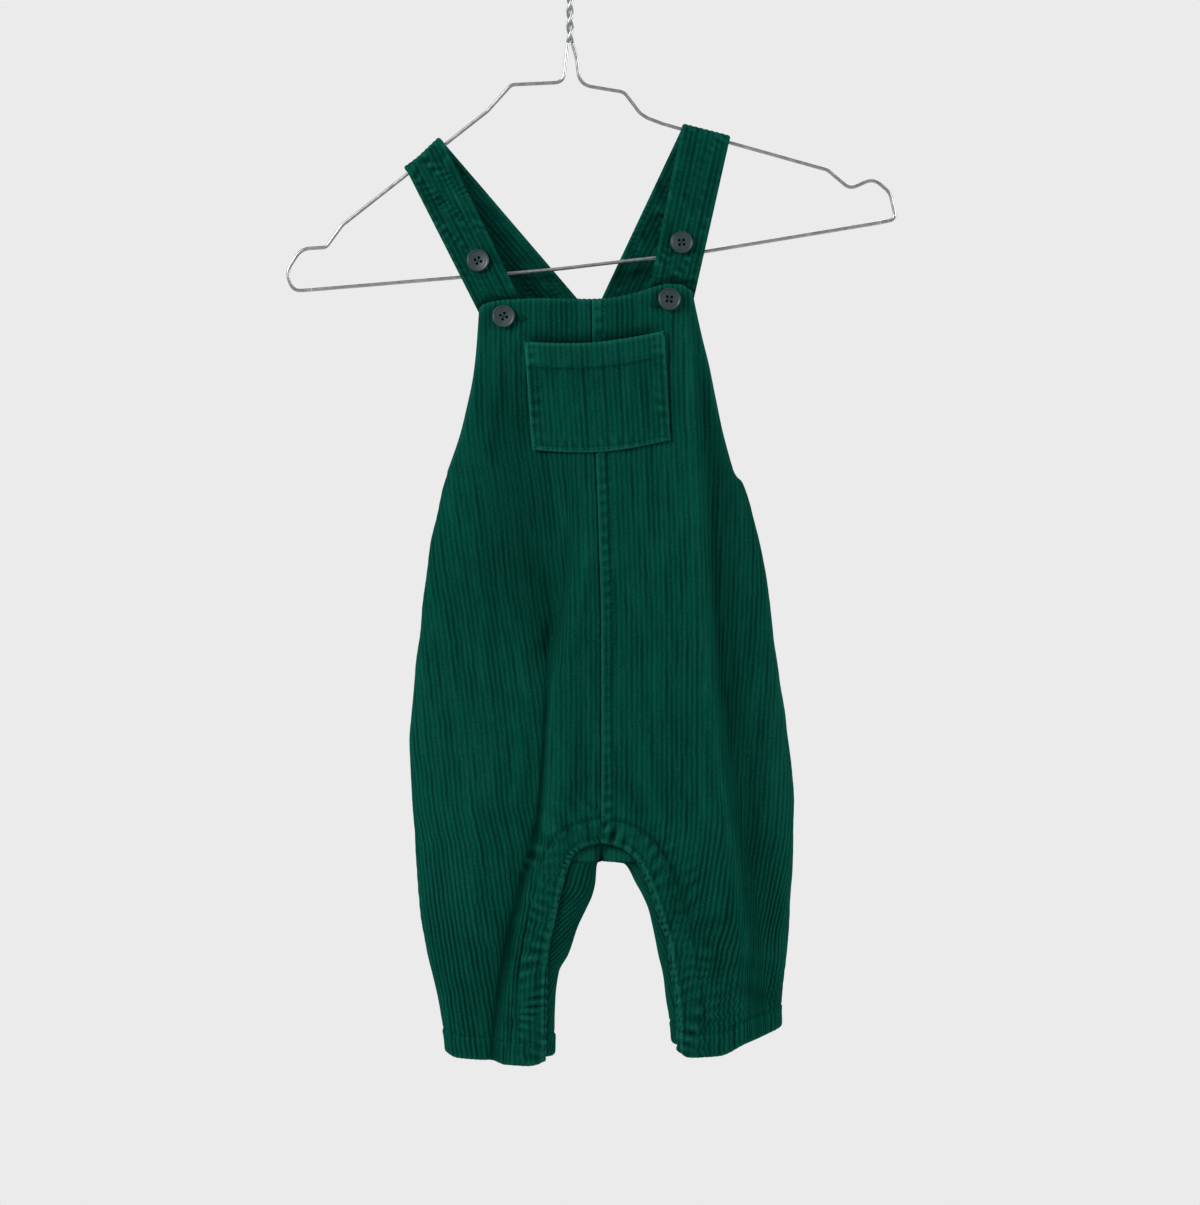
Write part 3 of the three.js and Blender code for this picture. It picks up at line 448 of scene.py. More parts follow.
outer_side = {half: curve_of(OUTLINE, name) for half, name in SIDE_NAMES.items()}
inner_side = {half: curve_of(INNER_SIDE, name) for half, name in SIDE_NAMES.items()}
arch_edge = {half: curve_of(ARCH_EDGE, name) for half, name in SIDE_NAMES.items()}
centre_x = curve_of(CENTRE, "x")
depth_of = {"front": curve_of(DEPTH, "front"), "back": curve_of(DEPTH, "back")}
armhole_turn = curve_of(ARMHOLE_TURN, "degrees")
inner_forward = curve_of(INNER_FORWARD, "forward")
top_edge = {"front": curve_of(BIB_EDGE, "drop", "x"), "back": curve_of(BACK_EDGE, "drop", "x")}
hem_edge = {"front": curve_of(HEM_EDGE, "front", "x"), "back": curve_of(HEM_EDGE, "back", "x")}


def arch_line():
    """The front's free edge as points of the front view, up the right inseam and down the left."""
    share = np.linspace(0, 1, 220) ** 2
    drop = ARCH_TOP + share * (HEM + 7 - ARCH_TOP)
    right = np.stack([arch_edge[RIGHT](drop), drop], axis=1)[::-1]
    left = np.stack([arch_edge[LEFT](drop), drop], axis=1)[1:]
    return np.concatenate([right, left])


ARCH_LINE = arch_line()
ARCH_ALONG = np.concatenate([[0], np.cumsum(np.linalg.norm(np.diff(ARCH_LINE, axis=0), axis=1))])
ARCH_HEADING = np.gradient(ARCH_LINE, ARCH_ALONG, axis=0)


def from_arch(x, drop):
    """Distance from the front's free edge, and the place along that edge that is nearest."""
    x, drop = np.broadcast_arrays(np.asarray(x, float), np.asarray(drop, float))
    distance = np.full(x.shape, 1e3)
    along = np.zeros(x.shape)
    near = drop > ARCH_TOP - 45
    place = np.stack([x[near], drop[near]], axis=1)
    for start in range(0, len(place), 20000):
        part = place[start : start + 20000]
        gaps = np.hypot(part[:, None, 0] - ARCH_LINE[None, :, 0], part[:, None, 1] - ARCH_LINE[None, :, 1])
        nearest = gaps.argmin(axis=1)
        rows = np.flatnonzero(near.ravel())[start : start + 20000]
        distance.ravel()[rows] = gaps[np.arange(len(part)), nearest]
        past = ((part - ARCH_LINE[nearest]) * ARCH_HEADING[nearest]).sum(axis=1)
        along.ravel()[rows] = ARCH_ALONG[nearest] + past
    return distance, along


def ring_at(half, drop, face):
    """Centre of a level section, its reach outwards and inwards, and the angle left at an armhole."""
    edge = outer_side[half](drop if face == "front" else np.maximum(drop, UNDERARM))
    seam = centre_x(drop)
    middle = (edge + seam) / 2
    inner = inner_side[half](drop)
    above = mix(seam, middle, smooth((drop - CLEFT_TOP) / (SADDLE - CLEFT_TOP)))
    below = mix(middle, (edge + inner) / 2, smooth((drop - SADDLE) / LEG_BLEND))
    in_leg = drop > SADDLE
    centre = np.where(in_leg, below, above)
    turn = np.where((face == "front") & (drop < UNDERARM), np.radians(armhole_turn(drop)), 0)
    outward = np.abs(edge - centre) / np.cos(turn) ** (2 / SQUARENESS)
    inward = np.where(in_leg, np.abs(centre - inner), outward)
    return centre, outward, inward, turn


def fold_height(side, x, drop):
    folds = FOLDS[side]
    height = np.zeros(np.broadcast(x, drop).shape)
    for top, top_x, bottom, bottom_x, bow, width, rise in zip(*folds.values()):
        along = (drop - top) / (bottom - top)
        inside = (along > 0) & (along < 1)
        wave = np.sin(np.pi * np.clip(along, 0, 1))
        middle = mix(top_x, bottom_x, along) + bow * wave
        height = height + np.where(inside, rise * wave**0.8 * np.exp(-(((x - middle) / width) ** 2)), 0)
    return height


def cloth_point(half, angle, drop, face):
    """Points of a panel's outer face. The angle starts at the outer side, positive round the front."""
    angle, drop = np.broadcast_arrays(np.asarray(angle, float), np.asarray(drop, float))
    centre, outward, inward, _ = ring_at(half, drop, face)
    across = signed_power(np.cos(angle), 2 / SQUARENESS)
    rise = np.abs(np.sin(angle)) ** (2 / SQUARENESS)
    reach = np.where(across < 0, inward, outward)
    x = centre + half * reach * across
    forward = np.sin(angle) > 0
    depth = np.where(forward, depth_of["front"](drop), depth_of["back"](drop))
    folds = np.where(forward, fold_height("front", x, drop), fold_height("back", x, drop))
    y = np.where(forward, -1, 1) * rise * (depth + folds)
    y = y - inner_forward(drop) * np.maximum(0, -across) ** 2
    if face == "front":
        distance, _ = from_arch(x, drop)
        lap = LAP * (1 - smooth((distance - LAP_WIDTH - LAP_HOLD) / LAP_RISE))
        normal_x = half * signed_power(across, SQUARENESS - 1) / reach
        normal_y = rise ** (SQUARENESS - 1) / depth
        length = np.maximum(np.hypot(normal_x, normal_y), 1e-9)
        x = x + lap * normal_x / length
        y = y - lap * normal_y / length
    return np.stack([x, y, -drop], axis=-1)


def unit(vectors):
    return vectors / np.maximum(np.linalg.norm(vectors, axis=-1, keepdims=True), 1e-12)


def cloth_normal(half, angle, drop, face):
    """Directions square to a panel's outer face. The slope is taken from one side only at the saddle."""
    angle, drop = np.broadcast_arrays(np.asarray(angle, float), np.asarray(drop, float))
    at_saddle = np.abs(drop - SADDLE) < 1
    above = np.where(at_saddle, np.where(drop >= SADDLE, 0, 1), 0.6)
    below = np.where(at_saddle, np.where(drop >= SADDLE, 1, 0), 0.6)
    around = cloth_point(half, angle + 0.01, drop, face) - cloth_point(half, angle - 0.01, drop, face)
    down = cloth_point(half, angle, drop + below, face) - cloth_point(half, angle, drop - above, face)
    return unit(np.cross(around, down) * half)


def meet_at_seam(points, half):
    """Keeps the body's points on their own side of the centre seam, where the two halves just touch."""
    drop = -points[..., 2]
    seam = centre_x(drop) - half * SEAM_TOUCH
    near = (drop < SADDLE + 4) & (half * (points[..., 0] - seam) < 4 * SEAM_TOUCH)
    points[..., 0] = np.where(near, seam, points[..., 0])
    return points


def angle_at(half, drop, x, face):
    centre, outward, inward, _ = ring_at(half, drop, face)
    offset = (x - centre) * half
    across = np.clip(offset / np.where(offset < 0, inward, outward), -1, 1)
    return np.arccos(signed_power(across, SQUARENESS / 2))


def front_face(x, drop):
    """Points of the front's outer face at places of the front view, and the directions square to it."""
    x, drop = np.broadcast_arrays(np.asarray(x, float), np.asarray(drop, float))
    points, normals = np.zeros(x.shape + (3,)), np.zeros(x.shape + (3,))
    for half in (RIGHT, LEFT):
        here = half * (x - centre_x(drop)) >= 0
        if here.any():
            angle = angle_at(half, drop[here], x[here], "front")
            points[here] = cloth_point(half, angle, drop[here], "front")
            normals[here] = cloth_normal(half, angle, drop[here], "front")
    return points, normals


def pucker(along, spacing, seed):
    """The uneven ripple that a row of stitches draws up, from -1 to 1."""
    drift = 0.9 * np.sin(along / 17 + seed) + 0.6 * np.sin(along / 7.3 + 2.1 * seed)
    strength = 0.62 + 0.38 * np.sin(along / 29 + 1.7 * seed)
    return strength * np.sin(2 * np.pi * along / spacing + drift)


def gathers(along, across, spacing, seed):
    """Uneven puckers of a gathered seam: each has its own slant, reach across the seam and strength."""
    slant = across * 0.35 * np.sin(along / 13 + seed)
    reach = 0.55 + 0.45 * np.sin(across / 3.1 + along / 5.7 + 1.3 * seed)
    return pucker(along + slant, spacing, seed) * reach


def bell(distance, width):
    return np.exp(-((distance / width) ** 2))


def wale_height(grain):
    """Height of the pile over the ground at a place across the grain, from 0 to 1."""
    phase = np.mod(grain / WALE, 1)
    at = [mark for mark, _ in WALE_MARKS] + [1.0]
    heights = [height for _, height in WALE_MARKS] + [0.0]
    return np.interp(phase, at, heights)


def crumple(x, drop, seed):
    """Slow small unevenness of cloth that has been worn and washed."""
    rng = np.random.default_rng(seed)
    height = np.zeros(np.broadcast(x, drop).shape)
    for _ in range(9):
        length_x, length_drop = rng.uniform(16, 46), rng.uniform(24, 90)
        phase = rng.uniform(0, 2 * np.pi)
        tilt = rng.uniform(-0.35, 0.35)
        height = height + np.sin(2 * np.pi * ((x + tilt * drop) / length_x) + phase) * np.sin(
            2 * np.pi * drop / length_drop + 2.3 * phase
        )
    return height / 9


def pile_lay_and_painted_light(side, x, drop):
    """How much paler, or darker if negative, each place is painted: laid pile, painted shade along folds and painted
    light on an outer edge.
    """
    paleness = np.zeros(np.broadcast(x, drop).shape)
    for x0, drop0, width, height, share in zip(*LAY_AND_PAINTED_LIGHT[side].values()):
        paleness = paleness + share * bell(x - x0, width) * bell(drop - drop0, height)
    return paleness


def crease_height(side, x, drop):
    """Sum of the fine folds and dents at places of the front or back view."""
    x, drop = np.broadcast_arrays(x, drop)
    height = np.zeros(x.shape)
    for width, rise, stations in CREASES[side]:
        at, across = np.array(stations, float).T
        middle = np.interp(drop, at, across)
        fade = smooth((drop - at[0]) / 26) * smooth((at[-1] - drop) / 26)
        height = height + rise * fade * bell(x - middle, width)
    for x0, drop0, length, width, rise, slope in zip(*DENTS[side].values()):
        along = x - x0
        height = height + rise * bell(along, length) * bell(drop - drop0 - slope * along, width)
    return height


class Panel:
    """One half of the front or of the back, with its wales laid along the grain of the cloth."""

    ROW_SAMPLES = 360

    def __init__(self, face, half):
        self.face, self.half = face, half
        self.name = f"{face}_{SIDE_NAMES[half]}"
        self.turning = ARCH_TOP if face == "front" else SADDLE
        tuck = TUCKS[face, half]
        self.hidden, self.tuck_x = curve_of(tuck, "hidden"), curve_of(tuck, "x")
        self.tuck_width = TUCK_WIDTHS[face, half]
        self.guide_x = curve_of(GUIDES[face, half], "x")
        self.shear = curve_of(INNER_SHEAR[half], "shift")
        self.guide_grain = 0.0
        self.gained = ([self.turning], [0.0])
        if face == "back":
            self.gained = self.seat_wales()
        above = self.row(self.turning - 0.01)
        self.guide_grain = self.at_guide(above, self.turning)

    def seat_wales(self):
        """Width of cloth that the back gains at its centre seam towards the saddle, in whole wales at last."""
        levels = SADDLE - 0.01 - 60 * np.linspace(1, 0, 30) ** 2
        grain = np.array([self.at_guide(self.row(level), level) for level in levels])
        gained = grain - grain[0]
        return levels, gained * round(gained[-1] / WALE) * WALE / gained[-1]

    def inner_angle(self, drop, level):
        if self.face == "front":
            seam = np.where(drop < ARCH_TOP, centre_x(drop), arch_edge[self.half](drop))
            return angle_at(self.half, drop, seam, "front")
        if level < SADDLE:
            return -angle_at(self.half, drop, centre_x(drop), "back")
        lapped = arch_edge[self.half](drop) + self.half * LAP_WIDTH
        return angle_at(self.half, drop, lapped, "back") - 2 * np.pi

    def angles(self, drop, level):
        share = np.linspace(0, 1, self.ROW_SAMPLES)
        return mix(self.inner_angle(drop, level), ring_at(self.half, drop, self.face)[3], share)

    def row_drop(self, level, x):
        """A row follows the top edge near the top and the hem near the bottom."""
        top = BIB_TOP if self.face == "front" else BACK_TOP
        top_fade = 1 - smooth((level - top) / (50 if self.face == "front" else 150))
        hem_fade = smooth((level - SADDLE - 12) / (HEM - SADDLE - 12))
        return level + (top_edge[self.face](x) - top) * top_fade + (hem_edge[self.face](x) - HEM) * hem_fade

    def tucked(self, level, x):
        step = smooth((self.half * (x - self.tuck_x(level)) / self.tuck_width + 1) / 2)
        return self.hidden(level) * step

    def at_guide(self, row, level):
        """Grain of the row where it meets the leg's guide wale, on the panel's own side of the leg."""
        facing = row["angle"] > -np.pi if self.face == "back" else np.full(row["x"].shape, True)
        return np.interp(self.half * self.guide_x(level), self.half * row["x"][facing], row["grain"][facing])

    def row(self, level):
        """One row of the panel, finely sampled from its inner end to its outer side."""
        flat = np.full(self.ROW_SAMPLES, float(level))
        x = cloth_point(self.half, self.angles(flat, level), flat, self.face)[:, 0]
        drop = self.row_drop(level, x)
        angle = self.angles(drop, level)
        point = cloth_point(self.half, angle, drop, self.face)
        run = np.concatenate([[0], np.cumsum(np.hypot(*np.diff(point[:, :2], axis=0).T))])
        row = {"level": level, "angle": angle, "drop": drop, "x": point[:, 0], "run": run}
        grain = run + self.tucked(level, point[:, 0])
        grain = grain + 0.16 * np.sin(drop / 3.7 + run / 11) * np.sin(drop / 23 + run / 17 + self.half)
        grain = grain + 0.16 * np.sin(drop / 2.3 - run / 7) * np.sin(run / 13 + drop / 31)
        if self.face == "front":
            from_edge, along = from_arch(point[:, 0], drop)
            grain = grain + 0.9 * gathers(along, from_edge, 7.3, 2.0) * bell(from_edge - 10, 9)
        grain = grain - np.interp(level, *self.gained)
        swerve = SWERVES[self.face, self.half]
        for x0, drop0, shift, width, height in zip(*swerve.values()):
            grain = grain - self.half * shift * bell(point[:, 0] - x0, width) * bell(drop - drop0, height)
        if level >= self.turning:
            row["grain"] = grain
            grain = grain + self.guide_grain - self.at_guide(row, level)
            if self.face == "back":
                grain = grain + self.shear(level) * smooth((-angle / np.pi - 0.5) / 0.5)
        row["grain"] = np.maximum.accumulate(grain + 1e-6 * np.arange(len(grain)))
        return row

    def levels(self, coarse):
        """Rows 2.2 mm apart, closer on the puckered legs, at rolled edges and under the front's arch."""
        top = BIB_TOP if self.face == "front" else BACK_TOP
        step = 4.4 if coarse else 2.2
        leg_step = 4.4 if coarse else 1.5
        levels = set(np.arange(top + step, LEG_ROWS, step).round(3))
        levels |= set(np.arange(LEG_ROWS, HEM - leg_step / 2, leg_step).round(3))
        levels |= {float(top), float(HEM), float(self.turning)}
        if not coarse:
            levels |= {top + 0.3, top + 0.9, HEM - 0.9, HEM - 0.3}
        if self.face == "front":
            levels |= set((ARCH_TOP + np.array([0.25, 0.6, 1, 1.6, 2.4, 3.4, 4.6, 6])).round(3))
        levels = sorted(levels)
        return [level for level in levels if not 0 < abs(level - self.turning) < 0.2]

    def sheet(self, coarse=False):
        """Grid of the panel: a column at each mark of each wale, and a row at each level."""
        rows = [self.row(level) for level in self.levels(coarse)]
        first = math.floor(min(row["grain"][0] for row in rows) / WALE)
        last = math.ceil(max(row["grain"][-1] for row in rows) / WALE)
        marks = [0.0] if coarse else [mark for mark, _ in WALE_MARKS]
        wanted = np.array([(wale + mark) * WALE for wale in range(first, last + 1) for mark in marks])
        grid = {
            key: np.array([np.interp(wanted, row["grain"], row[key]) for row in rows])
            for key in ("angle", "drop", "run")
        }
        low = np.array([row["grain"][0] for row in rows])[:, None]
        high = np.array([row["grain"][-1] for row in rows])[:, None]
        level = np.array([row["level"] for row in rows])[:, None]
        grid["grain"] = np.clip(wanted[None, :], low, high)
        grid["to_side"] = np.array([row["run"][-1] for row in rows])[:, None] - grid["run"]
        grid["level"] = np.broadcast_to(level, grid["angle"].shape)
        columns_index = np.arange(len(wanted))[None, :]
        kept_first = np.maximum((wanted[None, :] <= low).sum(axis=1, keepdims=True) - 1, 0)
        kept_last = len(wanted) - np.maximum((wanted[None, :] >= high).sum(axis=1, keepdims=True), 1)
        grid["column"] = np.clip(columns_index, kept_first, np.maximum(kept_last, kept_first))
        missing = wanted[None, :] < -self.gained[1][-1] - 0.01
        grid["no_cloth"] = (level < self.turning) & missing & (self.face == "back")
        return grid


def grid_faces(grid):
    """Vertex numbers of a grid's faces. Columns that end at an edge share that edge's point."""
    rows, count = grid["column"].shape
    number = np.arange(rows)[:, None] * count + grid["column"]
    corners = np.stack([number[:-1, :-1], number[1:, :-1], number[1:, 1:], number[:-1, 1:]], axis=-1)
    missing = grid["no_cloth"][:-1, :-1]
    faces = []
    for a, b, c, d in corners[~missing].reshape(-1, 4).tolist():
        corner = [a]
        for vertex in (b, c, d):
            if vertex != corner[-1]:
                corner.append(vertex)
        if corner[-1] == corner[0]:
            corner.pop()
        if len(corner) > 2:
            faces.append(corner)
    return faces


def free_edges(faces):
    """Next vertex along the free edge of a sheet, for each vertex on it."""
    edges = set()
    for face in faces:
        for edge in zip(face, face[1:] + face[:1]):
            back = (edge[1], edge[0])
            if back in edges:
                edges.remove(back)
            else:
                edges.add(edge)
    ahead = dict(edges)
    start = next(iter(sorted(ahead)))
    loop = [start]
    while ahead[loop[-1]] != start:
        loop.append(ahead[loop[-1]])
    return loop


def bridge(outer, inner, points):
    """Triangles that close the gap between two loops that run the same way."""
    gaps = np.linalg.norm(points[inner] - points[outer[0]], axis=1)
    shift = int(gaps.argmin())
    inner = inner[shift:] + inner[:shift]
    outer, inner = outer + outer[:1], inner + inner[:1]
    faces = []
    i = j = 0
    while i < len(outer) - 1 or j < len(inner) - 1:
        step_outer = step_inner = math.inf
        if i < len(outer) - 1:
            step_outer = np.linalg.norm(points[outer[i + 1]] - points[inner[j]])
        if j < len(inner) - 1:
            step_inner = np.linalg.norm(points[outer[i]] - points[inner[j + 1]])
        if step_outer <= step_inner:
            faces.append([outer[i + 1], outer[i], inner[j]])
            i += 1
        else:
            faces.append([outer[i], inner[j], inner[j + 1]])
            j += 1
    return faces


def volume_of(points, faces):
    total = 0.0
    for face in faces:
        a = points[face[0]]
        for b, c in zip(face[1:-1], face[2:]):
            total += np.dot(a, np.cross(points[b], points[c]))
    return total


def mesh_object(name, points, faces, materials, face_material=None, uv=None, rub=None, sharp=60):
    """A closed mesh from millimetre points, turned to face outwards and without unused points."""
    points = np.asarray(points, float).reshape(-1, 3)
    sample = faces[:: max(1, len(faces) // 4000)]
    used = np.unique(np.concatenate([np.array(face) for face in faces]))
    number = np.full(len(points), -1)
    number[used] = np.arange(len(used))
    if volume_of(points - points[used].mean(axis=0), sample if len(faces) < 4000 else faces) < 0:
        faces = [face[::-1] for face in faces]
    mesh = bpy.data.meshes.new(name)
    mesh.from_pydata(points[used] * MM, [], [number[face].tolist() for face in map(np.array, faces)])
    for material in materials:
        mesh.materials.append(material)
    if face_material is not None:
        mesh.polygons.foreach_set("material_index", np.array(face_material, np.int32))
    if uv is not None:
        layer = mesh.uv_layers.new(name="grain")
        corner = np.empty(len(mesh.loops), np.int32)
        mesh.loops.foreach_get("vertex_index", corner)
        layer.data.foreach_set("uv", np.asarray(uv, float).reshape(-1, 2)[used][corner].ravel())
    if rub is not None:
        attribute = mesh.attributes.new("rub", "FLOAT", "POINT")
        attribute.data.foreach_set("value", np.asarray(rub, float).ravel()[used])
    mesh.polygons.foreach_set("use_smooth", np.ones(len(mesh.polygons), bool))
    mesh.set_sharp_from_angle(angle=math.radians(sharp))
    mesh.update()
    piece = bpy.data.objects.new(name, mesh)
    bpy.context.scene.collection.objects.link(piece)
    return piece


def wall_object(name, outer, inner, materials):
    """Closes a fine outer sheet and a coarse inner sheet of cloth into one wall."""
    outer_faces, inner_faces = grid_faces(outer), grid_faces(inner)
    offset = outer["column"].size
    inner_faces = [[vertex + offset for vertex in face] for face in inner_faces]
    points = np.concatenate([outer["point"].reshape(-1, 3), inner["point"].reshape(-1, 3)])
    edge_faces = bridge(free_edges(outer_faces), free_edges(inner_faces), points)
    faces = outer_faces + edge_faces + [face[::-1] for face in inner_faces]
    face_material = [0] * (len(outer_faces) + len(edge_faces)) + [1] * len(inner_faces)
    uv = np.concatenate([outer["uv"].reshape(-1, 2), inner["uv"].reshape(-1, 2)])
    rub = np.concatenate([outer["rub"].ravel(), inner["rub"].ravel()])
    return mesh_object(name, points, faces, materials, face_material, uv, rub)


def uv_of(grain, drop):
    """Counts wales across the grain, and lengths of one wale's width along it."""
    return np.stack(np.broadcast_arrays(grain / WALE, drop / WALE), axis=-1)


def over_pocket(x, drop):
    """Height above the pocket's mouth, and how far inside the mouth's ends as a share of its width."""
    share = (x - POCKET["top_right"][0]) / (POCKET["top_left"][0] - POCKET["top_right"][0])
    return pocket_place(np.clip(share, 0, 1), 0.0)[2] - drop, 0.5 - np.abs(share - 0.5)


def panel_relief(panel, grid, x):
    """Height of the pile, seams and puckers over the cloth's smooth face, and how much paler or darker each place is
    painted, for wear and as painted light and shade.
    """
    level, drop, half = grid["level"], grid["drop"], panel.half
    seed = 3.1 if half == LEFT else 1.4
    to_hem = HEM - level
    height = np.zeros(x.shape)
    # Painted light and shade of the fine folds: paler on their ridges, darker in their troughs
    rub = pile_lay_and_painted_light(panel.face, x, drop) + 0.055 * crease_height(panel.face, x, drop)
    if panel.face == "front":
        above_mouth, beside = over_pocket(x, drop)
        # Painted shadow on the bib just above the pocket's mouth
        rub = rub - 0.9 * bell(above_mouth - 1, 2.3) * smooth(beside / 0.1)
    flat = np.ones(x.shape)
    centre = np.where(level < panel.turning, grid["run"], 1e3)
    laps_over = (half == LEFT) == (panel.face == "front")
    if laps_over:
        ripple = mix(gathers(drop, centre, 7.6, seed), pucker(drop + 0.3 * centre, 7.6, seed), 0.6)
        height = height + 0.8 * (1 - smooth((centre - 6.4) / 1.8)) - 0.6 * bell(centre - 7.3, 1.2)
        height = height - 0.3 * bell(centre, 0.4)
        height = height + 1.1 * ripple * bell(centre - 4.8, 3.0)
        # A paler line along the lap's edge, and its puckers painted paler and darker as painted light and shade
        rub = rub + 0.75 * bell(centre - 0.6, 0.7) + 0.6 * ripple * bell(centre - 4.6, 2.6)
        # Painted shade along the topstitch line
        rub = rub - 0.2 * bell(centre - 7.6, 0.9)
        flat = flat - 0.5 * bell(centre - 5.5, 3.0)
    else:
        height = height - 0.7 * bell(centre, 1.3) + 0.3 * pucker(drop, 7.1, seed) * bell(centre - 2, 3)
    if panel.face == "front":
        from_edge, along = from_arch(x, drop)
        band = 1 - smooth((from_edge - 15.4) / 2.2)
        ripple = gathers(along, from_edge, 7.3, seed + 2)
        at_crotch = bell(drop - ARCH_TOP, 22)
        fine = mix(gathers(along, from_edge, 4.4, seed + 4), gathers(along, from_edge, 3.1, seed), at_crotch)
        outside = gathers(along, from_edge, 9.7, seed) * bell(from_edge - 22, 10) * (1 + 0.7 * at_crotch)
        height = height + 0.6 * band - 0.75 * bell(from_edge - 16.8, 1.1) - 1.2 * bell(from_edge, 1.1)
        height = height + 1.4 * ripple * band * smooth(from_edge / 2.5) + 0.9 * outside
        height = height + 0.6 * fine * bell(from_edge - 11, 5) + (0.9 + 0.7 * at_crotch) * fine * bell(from_edge - 1.8, 2.2)
        # The rope edge paler, with painted highlight on its fine puckers; the band's and outer puckers painted paler
        # and darker as painted light and shade
        rub = rub + (0.6 + (0.6 + 0.8 * at_crotch) * fine) * bell(from_edge - 1.6, 1.6) + 0.55 * ripple * band + 0.25 * outside
        # Painted shade just inside the rope edge and along the stitch line
        rub = rub - 0.35 * bell(from_edge - 4.2, 1.3) - (0.2 + 0.3 * at_crotch * (1 + ripple)) * bell(from_edge - 17.4, 1.6)
        flat = flat * (1 - 0.45 * band)
    else:
        inner = np.where(level < panel.turning, 1e3, grid["run"])
        height = height - 0.6 * bell(inner, 1.2)
        under_edge, _ = from_arch(x, drop)
        # Painted shadow on the back's underlap next to the front's free edge
        rub = rub - 0.45 * bell(under_edge - 0.5, 2.8) * (np.sin(grid["angle"]) > 0)
    hem = 1 - smooth((to_hem - 14.2) / 1.8)
    hem_ripple = pucker(grid["run"], 6.8, seed + 5)
    turned = 0.5 * hem - 0.7 * bell(to_hem - 15.6, 1.1) + 0.45 * hem_ripple * bell(to_hem - 14, 5)
    height = height + turned * smooth(grid["to_side"] / 5)
    # A paler hem edge, and painted highlight on the ridges of its puckers
    rub = rub + 0.5 * bell(to_hem, 1.6) + 0.25 * np.maximum(hem_ripple, 0) * bell(to_hem - 14, 3)
    side_ripple = np.where(drop > UNDERARM, pucker(drop, 8.6, seed + 1), 0)
    height = height - 0.6 * bell(grid["to_side"], 1.3) + 0.3 * side_ripple * bell(grid["to_side"] - 9, 4)
    rub = rub + 0.35 * bell(grid["to_side"] - 1.2, 1.2) * (drop < UNDERARM)
    top = BIB_TOP if panel.face == "front" else BACK_TOP
    height = height - 0.9 * bell(level - top, 0.6) - 0.9 * bell(to_hem, 0.6)
    rub = rub + 0.35 * bell(level - top - 1, 1.2)
    across = (x - panel.tuck_x(level)) / panel.tuck_width
    crowding = panel.hidden(level) / (2 * panel.tuck_width) * 1.5 * np.maximum(0, 1 - across**2)
    flat = np.clip(flat, 0.3, 1) / (1 + crowding) * (1 - 0.8 * bell(grid["to_side"], 8))
    flat = flat * (1 - 0.7 * bell(to_hem, 1.5))
    rib = wale_height(grid["grain"]) * WALE_RISE * (1 + smooth((drop - 580) / 130))
    return np.maximum(height, -1.3) + flat * rib - GROUND_DEPTH, np.clip(rub, -1, 1), rib


def panel_sway(panel, grid, x):
    """How far both faces of the cloth move together in fine folds, dents and unevenness."""
    facing = grid["angle"] if panel.face == "front" else -grid["angle"]
    level, drop = grid["level"], grid["drop"]
    sway = crease_height(panel.face, x, drop) * smooth(3 * np.sin(facing))
    deep = smooth((panel.hidden(level) - 20) / 30) * TUCK_DENTS[panel.face, panel.half]
    sway = sway - deep * bell(x - panel.tuck_x(level), 4)
    if panel.face == "front":
        above_mouth, beside = over_pocket(x, drop)
        sway = sway - 2.6 * bell(above_mouth - 1, 4.5) * smooth(beside / 0.12)
    return sway + 0.9 * crumple(x, drop, 11 + panel.half)


def panel_object(panel, materials):
    sheets = []
    for coarse in (False, True):
        grid = panel.sheet(coarse)
        point = cloth_point(panel.half, grid["angle"], grid["drop"], panel.face)
        normal = cloth_normal(panel.half, grid["angle"], grid["drop"], panel.face)
        point = point + normal * panel_sway(panel, grid, point[..., 0])[..., None]
        if coarse:
            at_saddle = (panel.face == "back") & (np.abs(grid["level"] - SADDLE) < 0.1)
            normal[..., 2] = np.where(at_saddle, 0, normal[..., 2])
            point = point - unit(normal) * CLOTH
            grid["rub"] = np.zeros(grid["angle"].shape)
        else:
            height, grid["rub"], rib = panel_relief(panel, grid, point[..., 0])
            point = point + normal * height[..., None]
            top = BIB_TOP if panel.face == "front" else BACK_TOP
            point[..., 2] += rib * (0.9 * bell(grid["level"] - top, 1.2) - 0.15 * bell(HEM - grid["level"], 1.2))
        grid["point"] = meet_at_seam(point, panel.half)
        grid["uv"] = uv_of(grid["grain"], grid["drop"])
        sheets.append(grid)
    return wall_object(panel.name + "_cloth", *sheets, materials)


def plain_grid(rows, count):
    """Bookkeeping of a grid whose rows all have the same columns."""
    return {
        "column": np.broadcast_to(np.arange(count), (rows, count)),
        "no_cloth": np.zeros((rows, count), bool),
    }


def marks_across(wales):
    """Shares of a width at the marks of each wale, from edge to edge."""
    marks = [(wale + mark) / wales for wale in range(wales) for mark, _ in WALE_MARKS]
    return np.array(marks + [1.0])


def pocket_place(across, down):
    """Place of the front view at shares of the pocket's width and height."""
    corner = {name: np.array(POCKET[name]) for name in ("top_right", "top_left", "bottom_right", "bottom_left")}
    bulge = np.sin(np.pi * across)
    top = mix(corner["top_right"][1], corner["top_left"][1], across) + POCKET["top_sag"] * bulge
    bottom = mix(corner["bottom_right"][1], corner["bottom_left"][1], across) + POCKET["bottom_sag"] * bulge
    top_x = mix(corner["top_right"][0], corner["top_left"][0], across)
    bottom_x = mix(corner["bottom_right"][0], corner["bottom_left"][0], across)
    return mix(top_x, bottom_x, down), mix(top, bottom, down), top


POCKET_WALES = 27
POCKET_GAP = SEAM_GAP + 0.1


